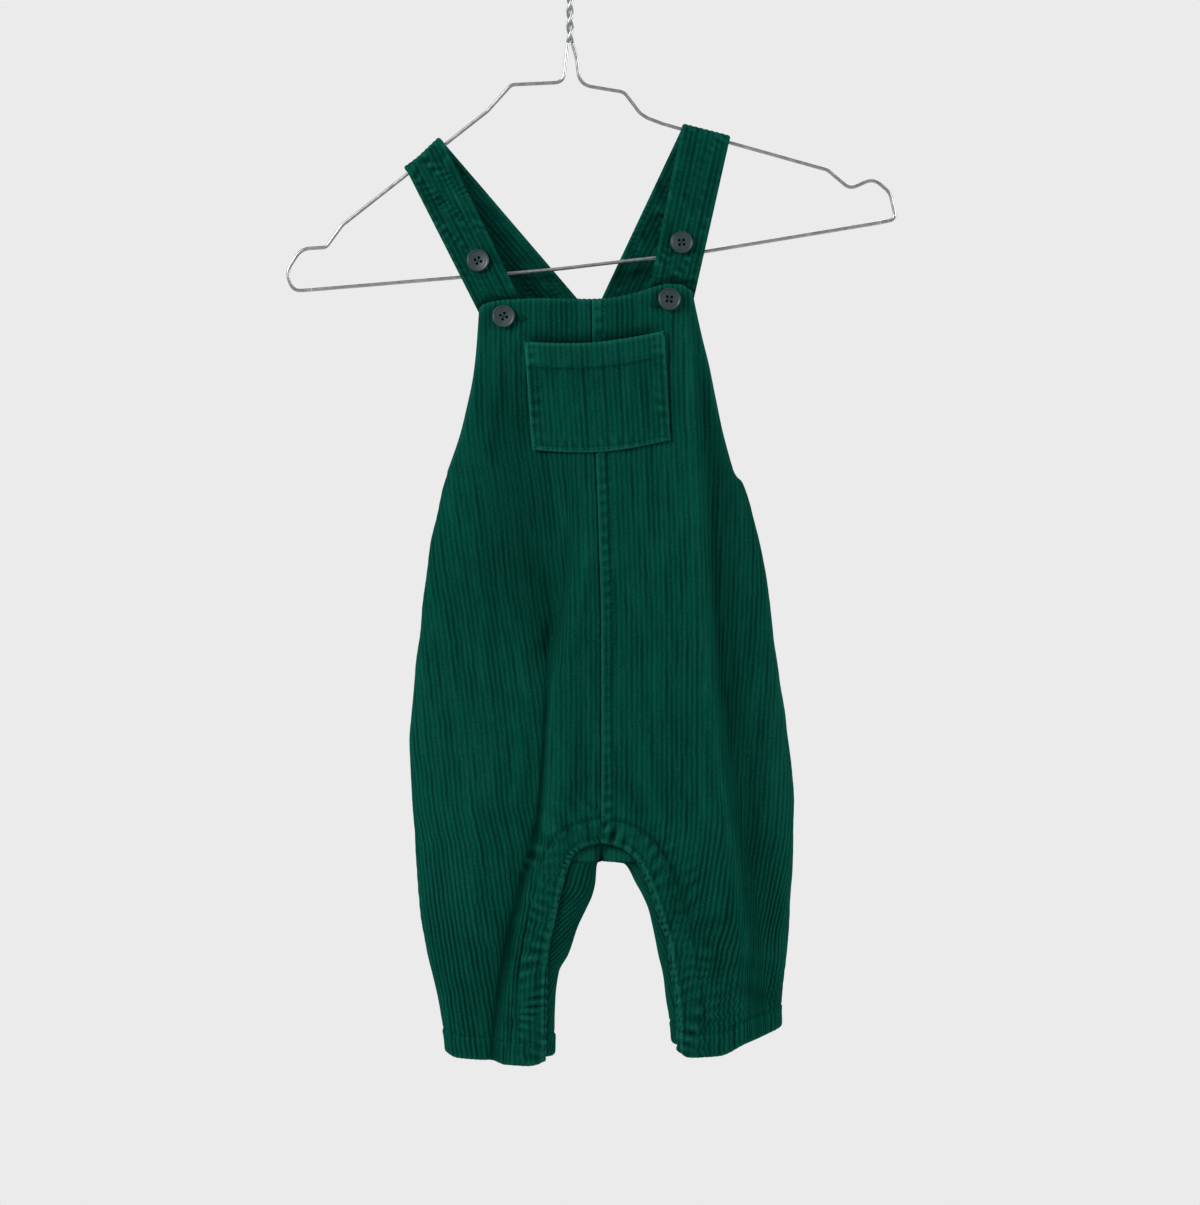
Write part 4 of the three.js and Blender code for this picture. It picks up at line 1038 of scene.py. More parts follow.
def pocket_object(materials):
    sheets = []
    for coarse in (False, True):
        across = np.linspace(0, 1, POCKET_WALES + 1) if coarse else marks_across(POCKET_WALES)
        down = np.linspace(0, 1, 20 if coarse else 42)
        if not coarse:
            down = np.sort(np.concatenate([down, [0.004, 0.012, 0.988, 0.996]]))
        across, down = np.meshgrid(across, down)
        x, drop, top = pocket_place(across, down)
        point, normal = front_face(x, drop)
        normal[..., 2] = 0
        normal = unit(normal)
        from_top = drop - top
        from_side = np.minimum(across, 1 - across) * 93.5
        from_bottom = (1 - down) * 73
        gape = 3.0 * np.sin(np.pi * across) ** 0.7 * (1 - smooth(from_top / 34))
        grain = across * POCKET_WALES * WALE
        if coarse:
            height = POCKET_GAP + gape
            rub = np.zeros(x.shape)
        else:
            stitch = 0.5 * bell(from_top - POCKET["hem"], 1.0) + 0.4 * bell(from_bottom - 1.6, 1.0)
            stitch = stitch + 0.4 * bell(from_side - 1.6, 1.0)
            turned = 0.7 * (1 - smooth((from_top - POCKET["hem"] + 0.8) / 1.6))
            turned = turned + 0.45 * (1 - smooth((from_bottom - 9.4) / 1.5))
            turned = turned + 0.4 * (1 - smooth((from_side - 6.6) / 1.5))
            ripple = gathers(x, from_top, 6.6, 2.2) * bell(from_top - POCKET["hem"] - 1, 4)
            ripple = ripple + gathers(x, from_bottom, 7.2, 0.4) * bell(from_bottom - 5, 4)
            ripple = ripple + gathers(drop, from_side, 7.6, 1.1) * bell(from_side - 5, 4)
            roll = bell(from_top, 0.7) + bell(from_side, 0.9) + bell(from_bottom, 0.9)
            seam_below = bell(x - centre_x(drop) - 7.2, 1.6) - 0.5 * smooth((x - centre_x(drop) - 7) / 3 + 0.5)
            rib = wale_height(grain) * WALE_RISE
            height = POCKET_GAP + CLOTH - GROUND_DEPTH + gape + rib * (1 - 0.5 * np.clip(stitch, 0, 1))
            height = height - stitch + turned + 0.5 * ripple - 1.1 * np.clip(roll, 0, 1) - 0.3 * seam_below
            height = height + 0.7 * crumple(x, drop, 21)
            rub = 0.5 * bell(from_top - 0.8, 1.2) + 0.9 * bell(from_side - 0.7, 0.9)
            # The darker row just inside the bottom edge is painted shade along its stitching
            rub = rub + 1.0 * bell(from_bottom - 1.0, 1.1) - 0.2 * bell(from_bottom - 3.2, 0.9)
            hem_wear = 0.12 + 0.32 * bell(from_side, 6)
            rub = rub + hem_wear * (1 - smooth((from_top - POCKET["hem"]) / 1.5))
            # Painted shade below the hem's stitching and beside the side stitching
            rub = rub - 0.3 * bell(from_top - POCKET["hem"] - 1.6, 1.3) - 0.3 * bell(from_side - 2.8, 0.9)
            # Puckers painted paler and darker: painted light and shade
            rub = np.clip(rub + 0.45 * ripple, -1, 1)
        point = point + normal * height[..., None]
        if not coarse:
            point[..., 2] += (rib - 0.4) * bell(from_top, 1.2)
        sheet = plain_grid(*x.shape)
        sheet.update(point=point, uv=uv_of(grain, drop), rub=rub)
        sheets.append(sheet)
    return wall_object("chest_pocket_cloth", *sheets, materials)


def crotch_band_object(materials):
    """The back's crotch strip, which comes up under the front's arched edge."""
    sheets = []
    for coarse in (False, True):
        levels = np.append(np.arange(633, SADDLE - 0.5, 3.2 if coarse else 1.3), SADDLE)
        wales = np.arange(-14, 14)
        marks = [0.0] if coarse else [mark for mark, _ in WALE_MARKS]
        offsets = np.array([(wale + mark) * WALE for wale in wales for mark in marks])
        reach = np.maximum(levels, ARCH_TOP + 1)
        low = (arch_edge[RIGHT](reach) - LAP_WIDTH)[:, None]
        high = (arch_edge[LEFT](reach) + LAP_WIDTH)[:, None]
        seam = centre_x(levels)[:, None]
        x = np.clip(seam + offsets[None, :], low, high)
        drop = np.broadcast_to(levels[:, None], x.shape)
        point, normal = np.zeros(x.shape + (3,)), np.zeros(x.shape + (3,))
        for half in (RIGHT, LEFT):
            here = half * (x - seam) >= 0
            angle = angle_at(half, drop[here], x[here], "back")
            point[here] = cloth_point(half, angle, drop[here], "back")
            normal[here] = cloth_normal(half, angle, drop[here], "back")
        from_seam = np.abs(x - seam)
        normal[..., 0] = normal[..., 0] * smooth(from_seam / 2)
        normal[..., 2] = np.where(drop > SADDLE - 0.5, 0, normal[..., 2])
        normal = unit(normal)
        height = np.where(drop < 645, -2 * SEAM_GAP, 0)
        if coarse:
            height = height - CLOTH
            rub = np.zeros(x.shape)
        else:
            rib = wale_height(x - seam) * WALE_RISE
            height = height + 0.7 * rib - GROUND_DEPTH - 0.3 - 0.4 * bell(from_seam, 0.9)
            # Painted shadow next to the front's arched edge, on a slightly paler strip
            rub = 0.3 - 0.9 * bell(from_arch(x, drop)[0] - 0.5, 1.6)
        sheet = plain_grid(*x.shape)
        first = (seam + offsets[None, :] <= low).sum(axis=1, keepdims=True) - 1
        last = len(offsets) - (seam + offsets[None, :] >= high).sum(axis=1, keepdims=True)
        sheet["column"] = np.clip(sheet["column"], np.maximum(first, 0), last)
        sheet.update(point=point + normal * height[..., None], uv=uv_of(x - seam, drop), rub=rub)
        sheets.append(sheet)
    return wall_object("crotch_band_cloth", *sheets, materials)


STRAP_WALES = 9
FRONT_STRAP_ROWS = 84
BACK_STRAP_ROWS = 132
STRAP_MIDDLE = WIRE_RADIUS + SEAM_GAP + STRAP_THICKNESS / 2


def strap_depth(half, x, drop, is_front):
    """Middle of a strap's thickness where it lies behind the bib, or inside the back."""
    away = CLOTH + SEAM_GAP + STRAP_THICKNESS / 2 + 0.15
    if is_front:
        point, _ = front_face(x, np.maximum(drop, top_edge["front"](x)))
        return point[..., 1] + away
    level = np.maximum(drop, BACK_TOP)
    depth = np.zeros(x.shape)
    for side in (RIGHT, LEFT):
        here = side * (x - centre_x(level)) >= 0
        if here.any():
            angle = -angle_at(side, level[here], x[here], "back")
            depth[here] = cloth_point(side, angle, level[here], "back")[..., 1]
    stack = (STRAP_THICKNESS + SEAM_GAP + 0.3) * (1 - smooth((drop - 340) / 12))
    return depth - away - (stack if STRAPS[half]["inside"] else 0)


def strap_edge(half, edge, is_front, share):
    """Points along one edge of a strap, from its lower end to the wire."""
    row = {name: values[edge] for name, values in STRAPS[half]["edges"].items()}
    start = (row["front_x"], row["front_drop"]) if is_front else (row["back_x"], STRAP_END)
    x, drop = mix(start[0], row["wire_x"], share), mix(start[1], row["wire_drop"], share)
    seat = top_edge["front"](x) if is_front else np.full(x.shape, float(CROSSING_TOP))
    free = np.clip((seat - drop) / (seat - row["wire_drop"]), 0, 1)
    rest = strap_depth(half, x, drop, is_front)
    wire_side = (-1 if is_front else 1) * STRAP_MIDDLE
    return np.stack([x, np.where(drop >= seat, rest, mix(rest, wire_side, free)), -drop], axis=-1)


def strap_middle(half, shares):
    """The strap's middle surface: rows from its front end over the wire to its back end."""
    rows = STRAPS[half]["edges"]
    wire_along = np.array([rows["wire_x"][1] - rows["wire_x"][0], 0, rows["wire_drop"][0] - rows["wire_drop"][1]])
    wire_along = wire_along / np.linalg.norm(wire_along)
    up = np.array([-wire_along[2], 0, wire_along[0]])
    up = up if up[2] > 0 else -up
    edges = []
    for edge in (0, 1):
        turn = np.linspace(0, np.pi, 15)[:, None]
        at_wire = np.array([rows["wire_x"][edge], 0, -rows["wire_drop"][edge]])
        wrap = at_wire - [0, 1, 0] * np.cos(turn) * STRAP_MIDDLE + up * np.sin(turn) * STRAP_MIDDLE
        front = strap_edge(half, edge, True, np.linspace(0, 1, FRONT_STRAP_ROWS + 1)[:-1])
        back = strap_edge(half, edge, False, np.linspace(1, 0, BACK_STRAP_ROWS + 1)[1:])
        edges.append(np.concatenate([front, wrap, back]))
    return mix(edges[0][:, None, :], edges[1][:, None, :], shares[None, :, None])


def sheet_normals(points):
    across = np.gradient(points, axis=1)
    along = np.gradient(points, axis=0)
    return unit(np.cross(along, across))


def strap_object(half, materials):
    shares = marks_across(STRAP_WALES)
    middle = strap_middle(half, shares)
    normals = sheet_normals(middle)
    if normals[10, 10, 1] > 0:
        normals = -normals
    width = np.linalg.norm(middle[0, -1] - middle[0, 0])
    from_edge = np.minimum(shares, 1 - shares) * width
    roundness = np.sqrt(1 - (1 - np.clip(from_edge / 1.4, 0, 1)) ** 2)[None, :]
    grain = shares * STRAP_WALES * WALE
    rib = wale_height(grain)[None, :] * WALE_RISE
    along = np.concatenate([[0], np.cumsum(np.linalg.norm(np.diff(middle[:, 0], axis=0), axis=1))])[:, None]
    wrap = bell(np.arange(len(middle)) - FRONT_STRAP_ROWS - 7, 8)[:, None]
    slack = 0.35 * np.sin(along / 19 + 2 * half) * np.cos(shares * 5 + along / 31)
    slack = slack + 0.16 * pucker(along, 5.3, half) * np.cos(shares * 4 + along / 9)
    slack = slack + 0.12 * pucker(along, 7.9, 3 + half) * np.sin(shares * 7 - along / 13)
    half_thickness = STRAP_THICKNESS / 2 - 0.45
    outside = (half_thickness + rib) * roundness + slack
    inside = (half_thickness + 0.6 * rib * (1 - 0.5 * wrap)) * roundness - slack * (1 - wrap)
    top = middle + normals * outside[..., None]
    bottom = middle - normals * inside[..., None]
    loop = np.concatenate([top, bottom[:, ::-1]], axis=1)
    rows, count = loop.shape[:2]
    number = np.arange(rows * count).reshape(rows, count)
    ahead = np.roll(number, -1, axis=1)
    faces = np.stack([number[:-1], number[1:], ahead[1:], ahead[:-1]], axis=-1).reshape(-1, 4).tolist()
    last = count - 1
    for row, turned in ((0, False), (rows - 1, True)):
        for j in range(count // 2 - 1):
            face = [number[row, j], number[row, j + 1], number[row, last - j - 1], number[row, last - j]]
            faces.append(face[::-1] if turned else face)
    loop_grain = np.concatenate([grain, grain[::-1]])[None, :]
    rub = 0.3 * bell(from_edge - 0.6, 1.2)[None, :] + 0.25 * wrap - 0.17
    # Puckers painted as crosswise paler and darker bars: painted light and shade
    rub = rub + 0.75 * gathers(along, shares * 40, 5.3, half) * np.cos(shares * 5 + along / 9)
    rub = rub + 0.65 * gathers(along, shares * 60, 8.3, 3 + half) * np.sin(shares * 8 - along / 13)
    # Painted shadow on the strap just above the bib's top edge
    over_bib = top_edge["front"](middle[..., 0]) + middle[..., 2]
    on_front = (np.arange(len(middle)) < FRONT_STRAP_ROWS)[:, None]
    rub = np.clip(rub - 0.9 * on_front * bell(over_bib - 1, 3.5), -1, 1)
    rub = np.concatenate([rub, rub[:, ::-1]], axis=1)
    uv = uv_of(loop_grain, along)
    return mesh_object(f"strap_{SIDE_NAMES[half]}_cloth", loop, faces, materials, uv=uv, rub=rub)


def strap_face(half, x, drop):
    """The strap's front face at a place of the front view, and the direction square to it."""
    middle = strap_middle(half, np.linspace(0, 1, 9))
    normals = sheet_normals(middle)
    front = middle[:FRONT_STRAP_ROWS]
    gaps = np.hypot(front[..., 0] - x, -front[..., 2] - drop)
    i, j = np.unravel_index(gaps.argmin(), gaps.shape)
    normal, near = normals[i, j], front[i, j]
    normal = -normal if normal[1] > 0 else normal
    y = near[1] - ((x - near[0]) * normal[0] + (-drop - near[2]) * normal[2]) / normal[1]
    return np.array([x, y, -drop]) + normal * STRAP_THICKNESS / 2, normal


BUTTONS = {
    "button_bib_right": (-44.2, 288.9, None),
    "button_bib_left": (66.3, 277.5, None),
    "button_strap_right": (-61.2, 251.4, RIGHT),
    "button_strap_left": (74.4, 239.3, LEFT),
}


def button_frame(name):
    """The button's place on the cloth as a matrix in millimetres, its face along local +Z."""
    x, drop, strap = BUTTONS[name]
    if strap is None:
        point, normal = front_face(np.array([x]), np.array([drop]))
        point, normal = point[0], normal[0]
    else:
        point, normal = strap_face(strap, x, drop)
    turn = Vector((0, 0, 1)).rotation_difference(Vector(normal)).to_matrix().to_4x4()
    spin = Matrix.Rotation(math.radians(BUTTON_TURNS[name]), 4, "Z")
    return Matrix.Translation(Vector(point + normal * (SEAM_GAP + 0.1))) @ turn @ spin


# Half section of a button, from the middle of its back round the rim to the middle of its dish
BUTTON_SECTION = columns(
    "radius height",
    (0, 0), (6.0, 0), (6.7, 0.15), (7.2, 0.6), (7.45, 1.2), (7.5, 1.9), (7.42, 2.35), (7.2, 2.58), (6.95, 2.6),
    (6.75, 2.45), (6.6, 2.15), (6.3, 1.98), (5.2, 1.9), (4.3, 1.84), (3.9, 1.72), (0, 1.6),
)


def button_object(name, material, sides=56):
    """A dished four-hole button turned on a lathe, then drilled."""
    turns = np.linspace(0, 2 * np.pi, sides, endpoint=False)
    ring = np.stack([np.cos(turns), np.sin(turns)], axis=-1)
    points, faces = [(0, 0, 0)], []
    inner = list(zip(BUTTON_SECTION["radius"], BUTTON_SECTION["height"]))[1:-1]
    for radius, height in inner:
        points += [(radius * x, radius * y, height) for x, y in ring]
    points.append((0, 0, BUTTON_SECTION["height"][-1]))
    for i in range(sides):
        j = (i + 1) % sides
        faces.append([0, 1 + j, 1 + i])
        for k in range(len(inner) - 1):
            low, high = 1 + k * sides, 1 + (k + 1) * sides
            faces.append([low + i, low + j, high + j, high + i])
        end = 1 + (len(inner) - 1) * sides
        faces.append([end + i, end + j, len(points) - 1])
    blank = mesh_object(name + "_resin", points, faces, [material])
    drill_points, drill_faces = [], []
    for side_x, side_y in ((1, 1), (-1, 1), (-1, -1), (1, -1)):
        start = len(drill_points)
        for height in (-2, 5):
            for i in range(14):
                turn = 2 * math.pi * i / 14
                x = side_x * HOLE_SPACING + HOLE_RADIUS * math.cos(turn)
                y = side_y * HOLE_SPACING + HOLE_RADIUS * math.sin(turn)
                drill_points.append((x, y, height))
        drill_faces.append([start + i for i in range(14)][::-1])
        drill_faces.append([start + 14 + i for i in range(14)])
        for i in range(14):
            j = (i + 1) % 14
            drill_faces.append([start + i, start + j, start + 14 + j, start + 14 + i])
    drill = mesh_object(name + "_drill", drill_points, drill_faces, [material])
    cut = blank.modifiers.new("drilled", "BOOLEAN")
    cut.operation, cut.object, cut.solver = "DIFFERENCE", drill, "EXACT"
    graph = bpy.context.evaluated_depsgraph_get()
    drilled = bpy.data.meshes.new_from_object(blank.evaluated_get(graph))
    blank.modifiers.remove(cut)
    bpy.data.objects.remove(drill)
    place = button_frame(name)
    drilled.transform(Matrix.Scale(MM, 4) @ place @ Matrix.Scale(1 / MM, 4))
    drilled.set_sharp_from_angle(angle=math.radians(50))
    blank.data = drilled
    return blank


def tube_points(path, radius, sides):
    """Rings of points round a path, carried along it without twist."""
    path = np.asarray(path, float)
    tangent = unit(np.gradient(path, axis=0))
    side = np.cross(tangent[0], [0.3, 1.0, 0.2])
    rings = []
    for place, direction in zip(path, tangent):
        side = side - direction * np.dot(side, direction)
        side = side / np.linalg.norm(side)
        other = np.cross(direction, side)
        turns = 2 * np.pi * np.arange(sides) / sides
        rings.append(place + radius * (np.cos(turns)[:, None] * side + np.sin(turns)[:, None] * other))
    return np.array(rings)


def tube_object(name, path, radius, material, sides=12):
    rings = tube_points(path, radius, sides)
    rows = len(rings)
    number = np.arange(rows * sides).reshape(rows, sides)
    ahead = np.roll(number, -1, axis=1)
    faces = np.stack([number[:-1], number[1:], ahead[1:], ahead[:-1]], axis=-1).reshape(-1, 4).tolist()
    faces += [number[0].tolist(), number[-1][::-1].tolist()]
    return mesh_object(name, rings, faces, [material], sharp=50)


def bent_path(corners, step=1.6):
    """A line with round bends, as points close together all along."""
    at = np.stack([corners["x"], np.zeros(len(corners["x"])), -corners["drop"]], axis=-1)
    path = [at[0]]
    for before, here, after, bend in zip(at, at[1:], at[2:], corners["bend"][1:]):
        back, ahead = before - here, after - here
        angle = math.acos(np.dot(unit(back), unit(ahead)))
        reach = min(bend / math.tan(angle / 2), 0.48 * np.linalg.norm(back), 0.48 * np.linalg.norm(ahead))
        start, end = here + unit(back) * reach, here + unit(ahead) * reach
        t = np.linspace(0, 1, 9)[:, None]
        path += list((1 - t) ** 2 * start + 2 * t * (1 - t) * here + t * t * end)
    path.append(at[-1])
    dense = [path[0]]
    for here, after in zip(path, path[1:]):
        pieces = max(1, int(np.linalg.norm(after - here) / (4 * step)))
        dense += [mix(here, after, (k + 1) / pieces) for k in range(pieces)]
    return np.array(dense)


def twist_path(phase):
    up = np.linspace(0, 1, 44)
    turn = phase + 2 * np.pi * TWIST_TURNS * up
    z = -mix(TWIST_BOTTOM, TWIST_TOP, up)
    return np.stack([TWIST_OFFSET * np.cos(turn), TWIST_OFFSET * np.sin(turn), z], axis=-1)


def hook_path():
    """The strand that goes on from the twist into the stem and round the hook."""
    strand = twist_path(np.pi)
    radius = HOOK_RADIUS + WIRE_RADIUS
    turn = np.radians(np.linspace(HOOK_START, HOOK_END, 60))
    crown = np.stack([radius * np.cos(turn), 0 * turn, radius * np.sin(turn) - HOOK_RADIUS], axis=-1)
    bend = [strand[-1], np.array([0, 0, -STEM_DROP + 4]), crown[0] + [-9, 0, -7], crown[0]]
    t = np.linspace(0, 1, 18)[1:-1, None]
    stem = (1 - t) ** 3 * bend[0] + 3 * t * (1 - t) ** 2 * bend[1] + 3 * t**2 * (1 - t) * bend[2] + t**3 * bend[3]
    return np.concatenate([strand, stem, crown])


def linear(code):
    """A colour picked as sRGB, as the linear colour that a shader takes."""
    parts = [int(code[i : i + 2], 16) / 255 for i in (1, 3, 5)]
    return [c / 12.92 if c <= 0.04045 else ((c + 0.055) / 1.055) ** 2.4 for c in parts] + [1.0]


def add_node(tree, kind, inputs=(), **settings):
    """Adds a node, with its settings, and its inputs as values or as the sockets that feed them."""
    node = tree.nodes.new(kind)
    for name, value in settings.items():
        setattr(node, name, value)
    for name, value in dict(inputs).items():
        if isinstance(value, bpy.types.NodeSocket):
            tree.links.new(value, node.inputs[name])
        else:
            node.inputs[name].default_value = value
    return node


def new_material(name):
    material = bpy.data.materials.new(name)
    material.use_nodes = True
    tree = material.node_tree
    tree.nodes.clear()
    return material, tree


def finish_material(tree, shader):
    add_node(tree, "ShaderNodeOutputMaterial", {"Surface": shader.outputs[0]})


def math_node(tree, operation, first, second=0.0, clamp=False):
    return add_node(tree, "ShaderNodeMath", {0: first, 1: second}, operation=operation, use_clamp=clamp).outputs[0]


def mix_colour(tree, share, first, second, blend="MIX"):
    node = add_node(tree, "ShaderNodeMix", data_type="RGBA", blend_type=blend)
    for socket, value in ((0, share), (6, first), (7, second)):
        if isinstance(value, bpy.types.NodeSocket):
            tree.links.new(value, node.inputs[socket])
        else:
            node.inputs[socket].default_value = value
    return node.outputs[2]


def smooth_range(tree, value, low, high):
    inputs = {"Value": value, "From Min": low, "From Max": high}
    return add_node(tree, "ShaderNodeMapRange", inputs, interpolation_type="SMOOTHSTEP").outputs[0]


def noise(tree, place, scale, detail, roughness=0.5):
    inputs = {"Vector": place, "Scale": scale, "Detail": detail, "Roughness": roughness}
    return add_node(tree, "ShaderNodeTexNoise", inputs).outputs["Fac"]


# Greens of the pile by how it lies, with a grey-green for wear and painted highlight, and a near black for painted
# shade
PILE = {
    "crest": "#023e33",
    "hollow": "#002b22",
    "leaning": "#003329",
    "crushed": "#0a4f43",
    "wear_and_highlight": "#1b6857",
    "painted_shade_and_dark_lay": "#001611",
}


def share_of(tree, value, low, high, most):
    """How much of a colour shows where a value rises from low to high."""
    return math_node(tree, "MULTIPLY", smooth_range(tree, value, low, high), most)


def corduroy_pile():
    """Cotton corduroy, piece-dyed dark green, its cut pile standing in wide wales.

    The eye gets paler and darker green lines in turn, as even as the wales: crests that catch the light
    and hollows painted darker, partly the ground's own colour and partly painted shade. Single wales and
    short tufts differ a little, the pile leans in slow patches, rubbed edges and painted highlights on
    fold and pucker ridges go grey-green, and painted shade in creases, puckers and under edges
    goes nearly black.
    """
    material, tree = new_material("cotton corduroy, cut pile")
    uv = add_node(tree, "ShaderNodeUVMap", uv_map="grain").outputs[0]
    place = add_node(tree, "ShaderNodeTexCoord").outputs["Object"]
    split = add_node(tree, "ShaderNodeSeparateXYZ", {0: uv}).outputs
    wale = math_node(tree, "MULTIPLY", math_node(tree, "FLOOR", split["X"]), 7.31)
    in_wale = math_node(tree, "SUBTRACT", math_node(tree, "FRACT", split["X"]), 0.5)
    from_crest = math_node(tree, "ABSOLUTE", in_wale)
    along = math_node(tree, "MULTIPLY", split["Y"], 0.055)
    own = noise(tree, add_node(tree, "ShaderNodeCombineXYZ", {"X": wale, "Y": along}).outputs[0], 1.0, 3.0, 0.7)
    tufts = add_node(tree, "ShaderNodeMapping", {"Vector": uv, "Scale": (4.5, 2.2, 1.0)}).outputs[0]
    tuft = noise(tree, tufts, 1.0, 3.0, 0.65)
    patches = add_node(tree, "ShaderNodeMapping", {"Vector": uv, "Scale": (0.45, 0.4, 1.0)}).outputs[0]
    patch = noise(tree, patches, 1.0, 2.0, 0.6)
    lean = noise(tree, place, 26.0, 4.0, 0.6)
    pile = mix_colour(tree, share_of(tree, lean, 0.35, 0.7, 0.8), linear(PILE["crest"]), linear(PILE["leaning"]))
    pile = mix_colour(tree, share_of(tree, own, 0.35, 0.75, 0.6), pile, linear(PILE["crushed"]))
    pile = mix_colour(tree, share_of(tree, patch, 0.45, 0.75, 0.2), pile, linear(PILE["crushed"]))
    pile = mix_colour(tree, share_of(tree, tuft, 0.42, 0.68, 1.0), pile, linear(PILE["crushed"]))
    groove = math_node(tree, "MULTIPLY", math_node(tree, "ROUND", split["X"]), 5.13)
    parted = noise(tree, add_node(tree, "ShaderNodeCombineXYZ", {"X": groove, "Y": along}).outputs[0], 1.0, 2.0, 0.6)
    depth = math_node(tree, "ADD", share_of(tree, parted, 0.35, 0.7, 0.7), 0.2)
    # Painted shade in the hollows between the wales, partly the darker ground's own colour
    hollow = math_node(tree, "MULTIPLY", smooth_range(tree, from_crest, 0.0, 0.34), depth)
    pile = mix_colour(tree, hollow, pile, linear(PILE["hollow"]))
    rub = add_node(tree, "ShaderNodeAttribute", attribute_name="rub").outputs["Fac"]
    uneven = math_node(tree, "ADD", math_node(tree, "MULTIPLY", tuft, 0.8), 0.2)
    # Positive values of the attribute mix in grey-green: wear and painted highlight
    wear_and_highlight = math_node(tree, "MULTIPLY", rub, uneven, clamp=True)
    pile = mix_colour(tree, wear_and_highlight, pile, linear(PILE["wear_and_highlight"]))
    # Negative values mix in near black: painted shade, and darker laid pile in a few patches
    painted_shade_and_dark_lay = math_node(tree, "MULTIPLY", rub, -0.9, clamp=True)
    pile = mix_colour(tree, painted_shade_and_dark_lay, pile, linear(PILE["painted_shade_and_dark_lay"]))
    bump = add_node(tree, "ShaderNodeBump", {"Height": tuft, "Strength": 0.9, "Distance": 0.0008}).outputs[0]
    shader = add_node(
        tree,
        "ShaderNodeBsdfPrincipled",
        {
            "Base Color": pile,
            "Roughness": 0.95,
            "Specular IOR Level": 0.02,
            "Sheen Weight": 0.2,
            "Sheen Roughness": 0.5,
            "Sheen Tint": linear("#1d8f74"),
            "Normal": bump,
        },
    )
    finish_material(tree, shader)
    return material


def corduroy_back():
    """The ground of the same corduroy, seen inside: a flat, plain weave, a little duller than the pile."""
    material, tree = new_material("cotton corduroy, plain back")
    place = add_node(tree, "ShaderNodeTexCoord").outputs["Object"]
    lean = add_node(tree, "ShaderNodeTexNoise", {"Vector": place, "Scale": 75.0, "Detail": 5.0, "Roughness": 0.7})
    colour = mix_colour(tree, lean.outputs["Fac"], linear("#002e25"), linear("#04402f"))
    thread = add_node(tree, "ShaderNodeTexNoise", {"Vector": place, "Scale": 1400.0, "Detail": 2.0})
    bump = add_node(
        tree, "ShaderNodeBump", {"Height": thread.outputs["Fac"], "Strength": 0.4, "Distance": 0.0003}
    ).outputs[0]
    shader = add_node(
        tree,
        "ShaderNodeBsdfPrincipled",
        {"Base Color": colour, "Roughness": 0.95, "Specular IOR Level": 0.03, "Normal": bump},
    )
    finish_material(tree, shader)
    return material


def sewing_thread():
    """Spun polyester thread dyed with the cloth: smoother than the pile, so that a stitch just shows."""
    material, tree = new_material("polyester sewing thread")
    shader = add_node(
        tree,
        "ShaderNodeBsdfPrincipled",
        {"Base Color": linear("#00372b"), "Roughness": 0.85, "Specular IOR Level": 0.04},
    )
    finish_material(tree, shader)
    return material


def button_resin():
    """Cast polyester resin, slate grey, tumbled to a satin: soft highlights on the rim, faint clouding."""
    material, tree = new_material("polyester resin, slate grey")
    place = add_node(tree, "ShaderNodeTexCoord").outputs["Object"]
    cloud = add_node(tree, "ShaderNodeTexNoise", {"Vector": place, "Scale": 190.0, "Detail": 3.0})
    colour = mix_colour(tree, cloud.outputs["Fac"], linear("#1b292b"), linear("#2c3e40"))
    shader = add_node(
        tree,
        "ShaderNodeBsdfPrincipled",
        {"Base Color": colour, "Roughness": 0.42, "Specular IOR Level": 0.5},
    )
    finish_material(tree, shader)
    return material


def galvanised_wire():
    """Cold-drawn steel wire with a zinc coat: dull silver, streaked along its length by the die."""
    material, tree = new_material("galvanised steel wire")
    place = add_node(tree, "ShaderNodeTexCoord").outputs["Object"]
    streak = add_node(tree, "ShaderNodeTexNoise", {"Vector": place, "Scale": 260.0, "Detail": 4.0})
    colour = mix_colour(tree, streak.outputs["Fac"], linear("#8d9294"), linear("#d3d5d4"))
    rough = add_node(
        tree, "ShaderNodeMapRange", {"Value": streak.outputs["Fac"], "To Min": 0.28, "To Max": 0.5}
    ).outputs[0]
    shader = add_node(
        tree, "ShaderNodeBsdfPrincipled", {"Base Color": colour, "Metallic": 1.0, "Roughness": rough}
    )
    finish_material(tree, shader)
    return material


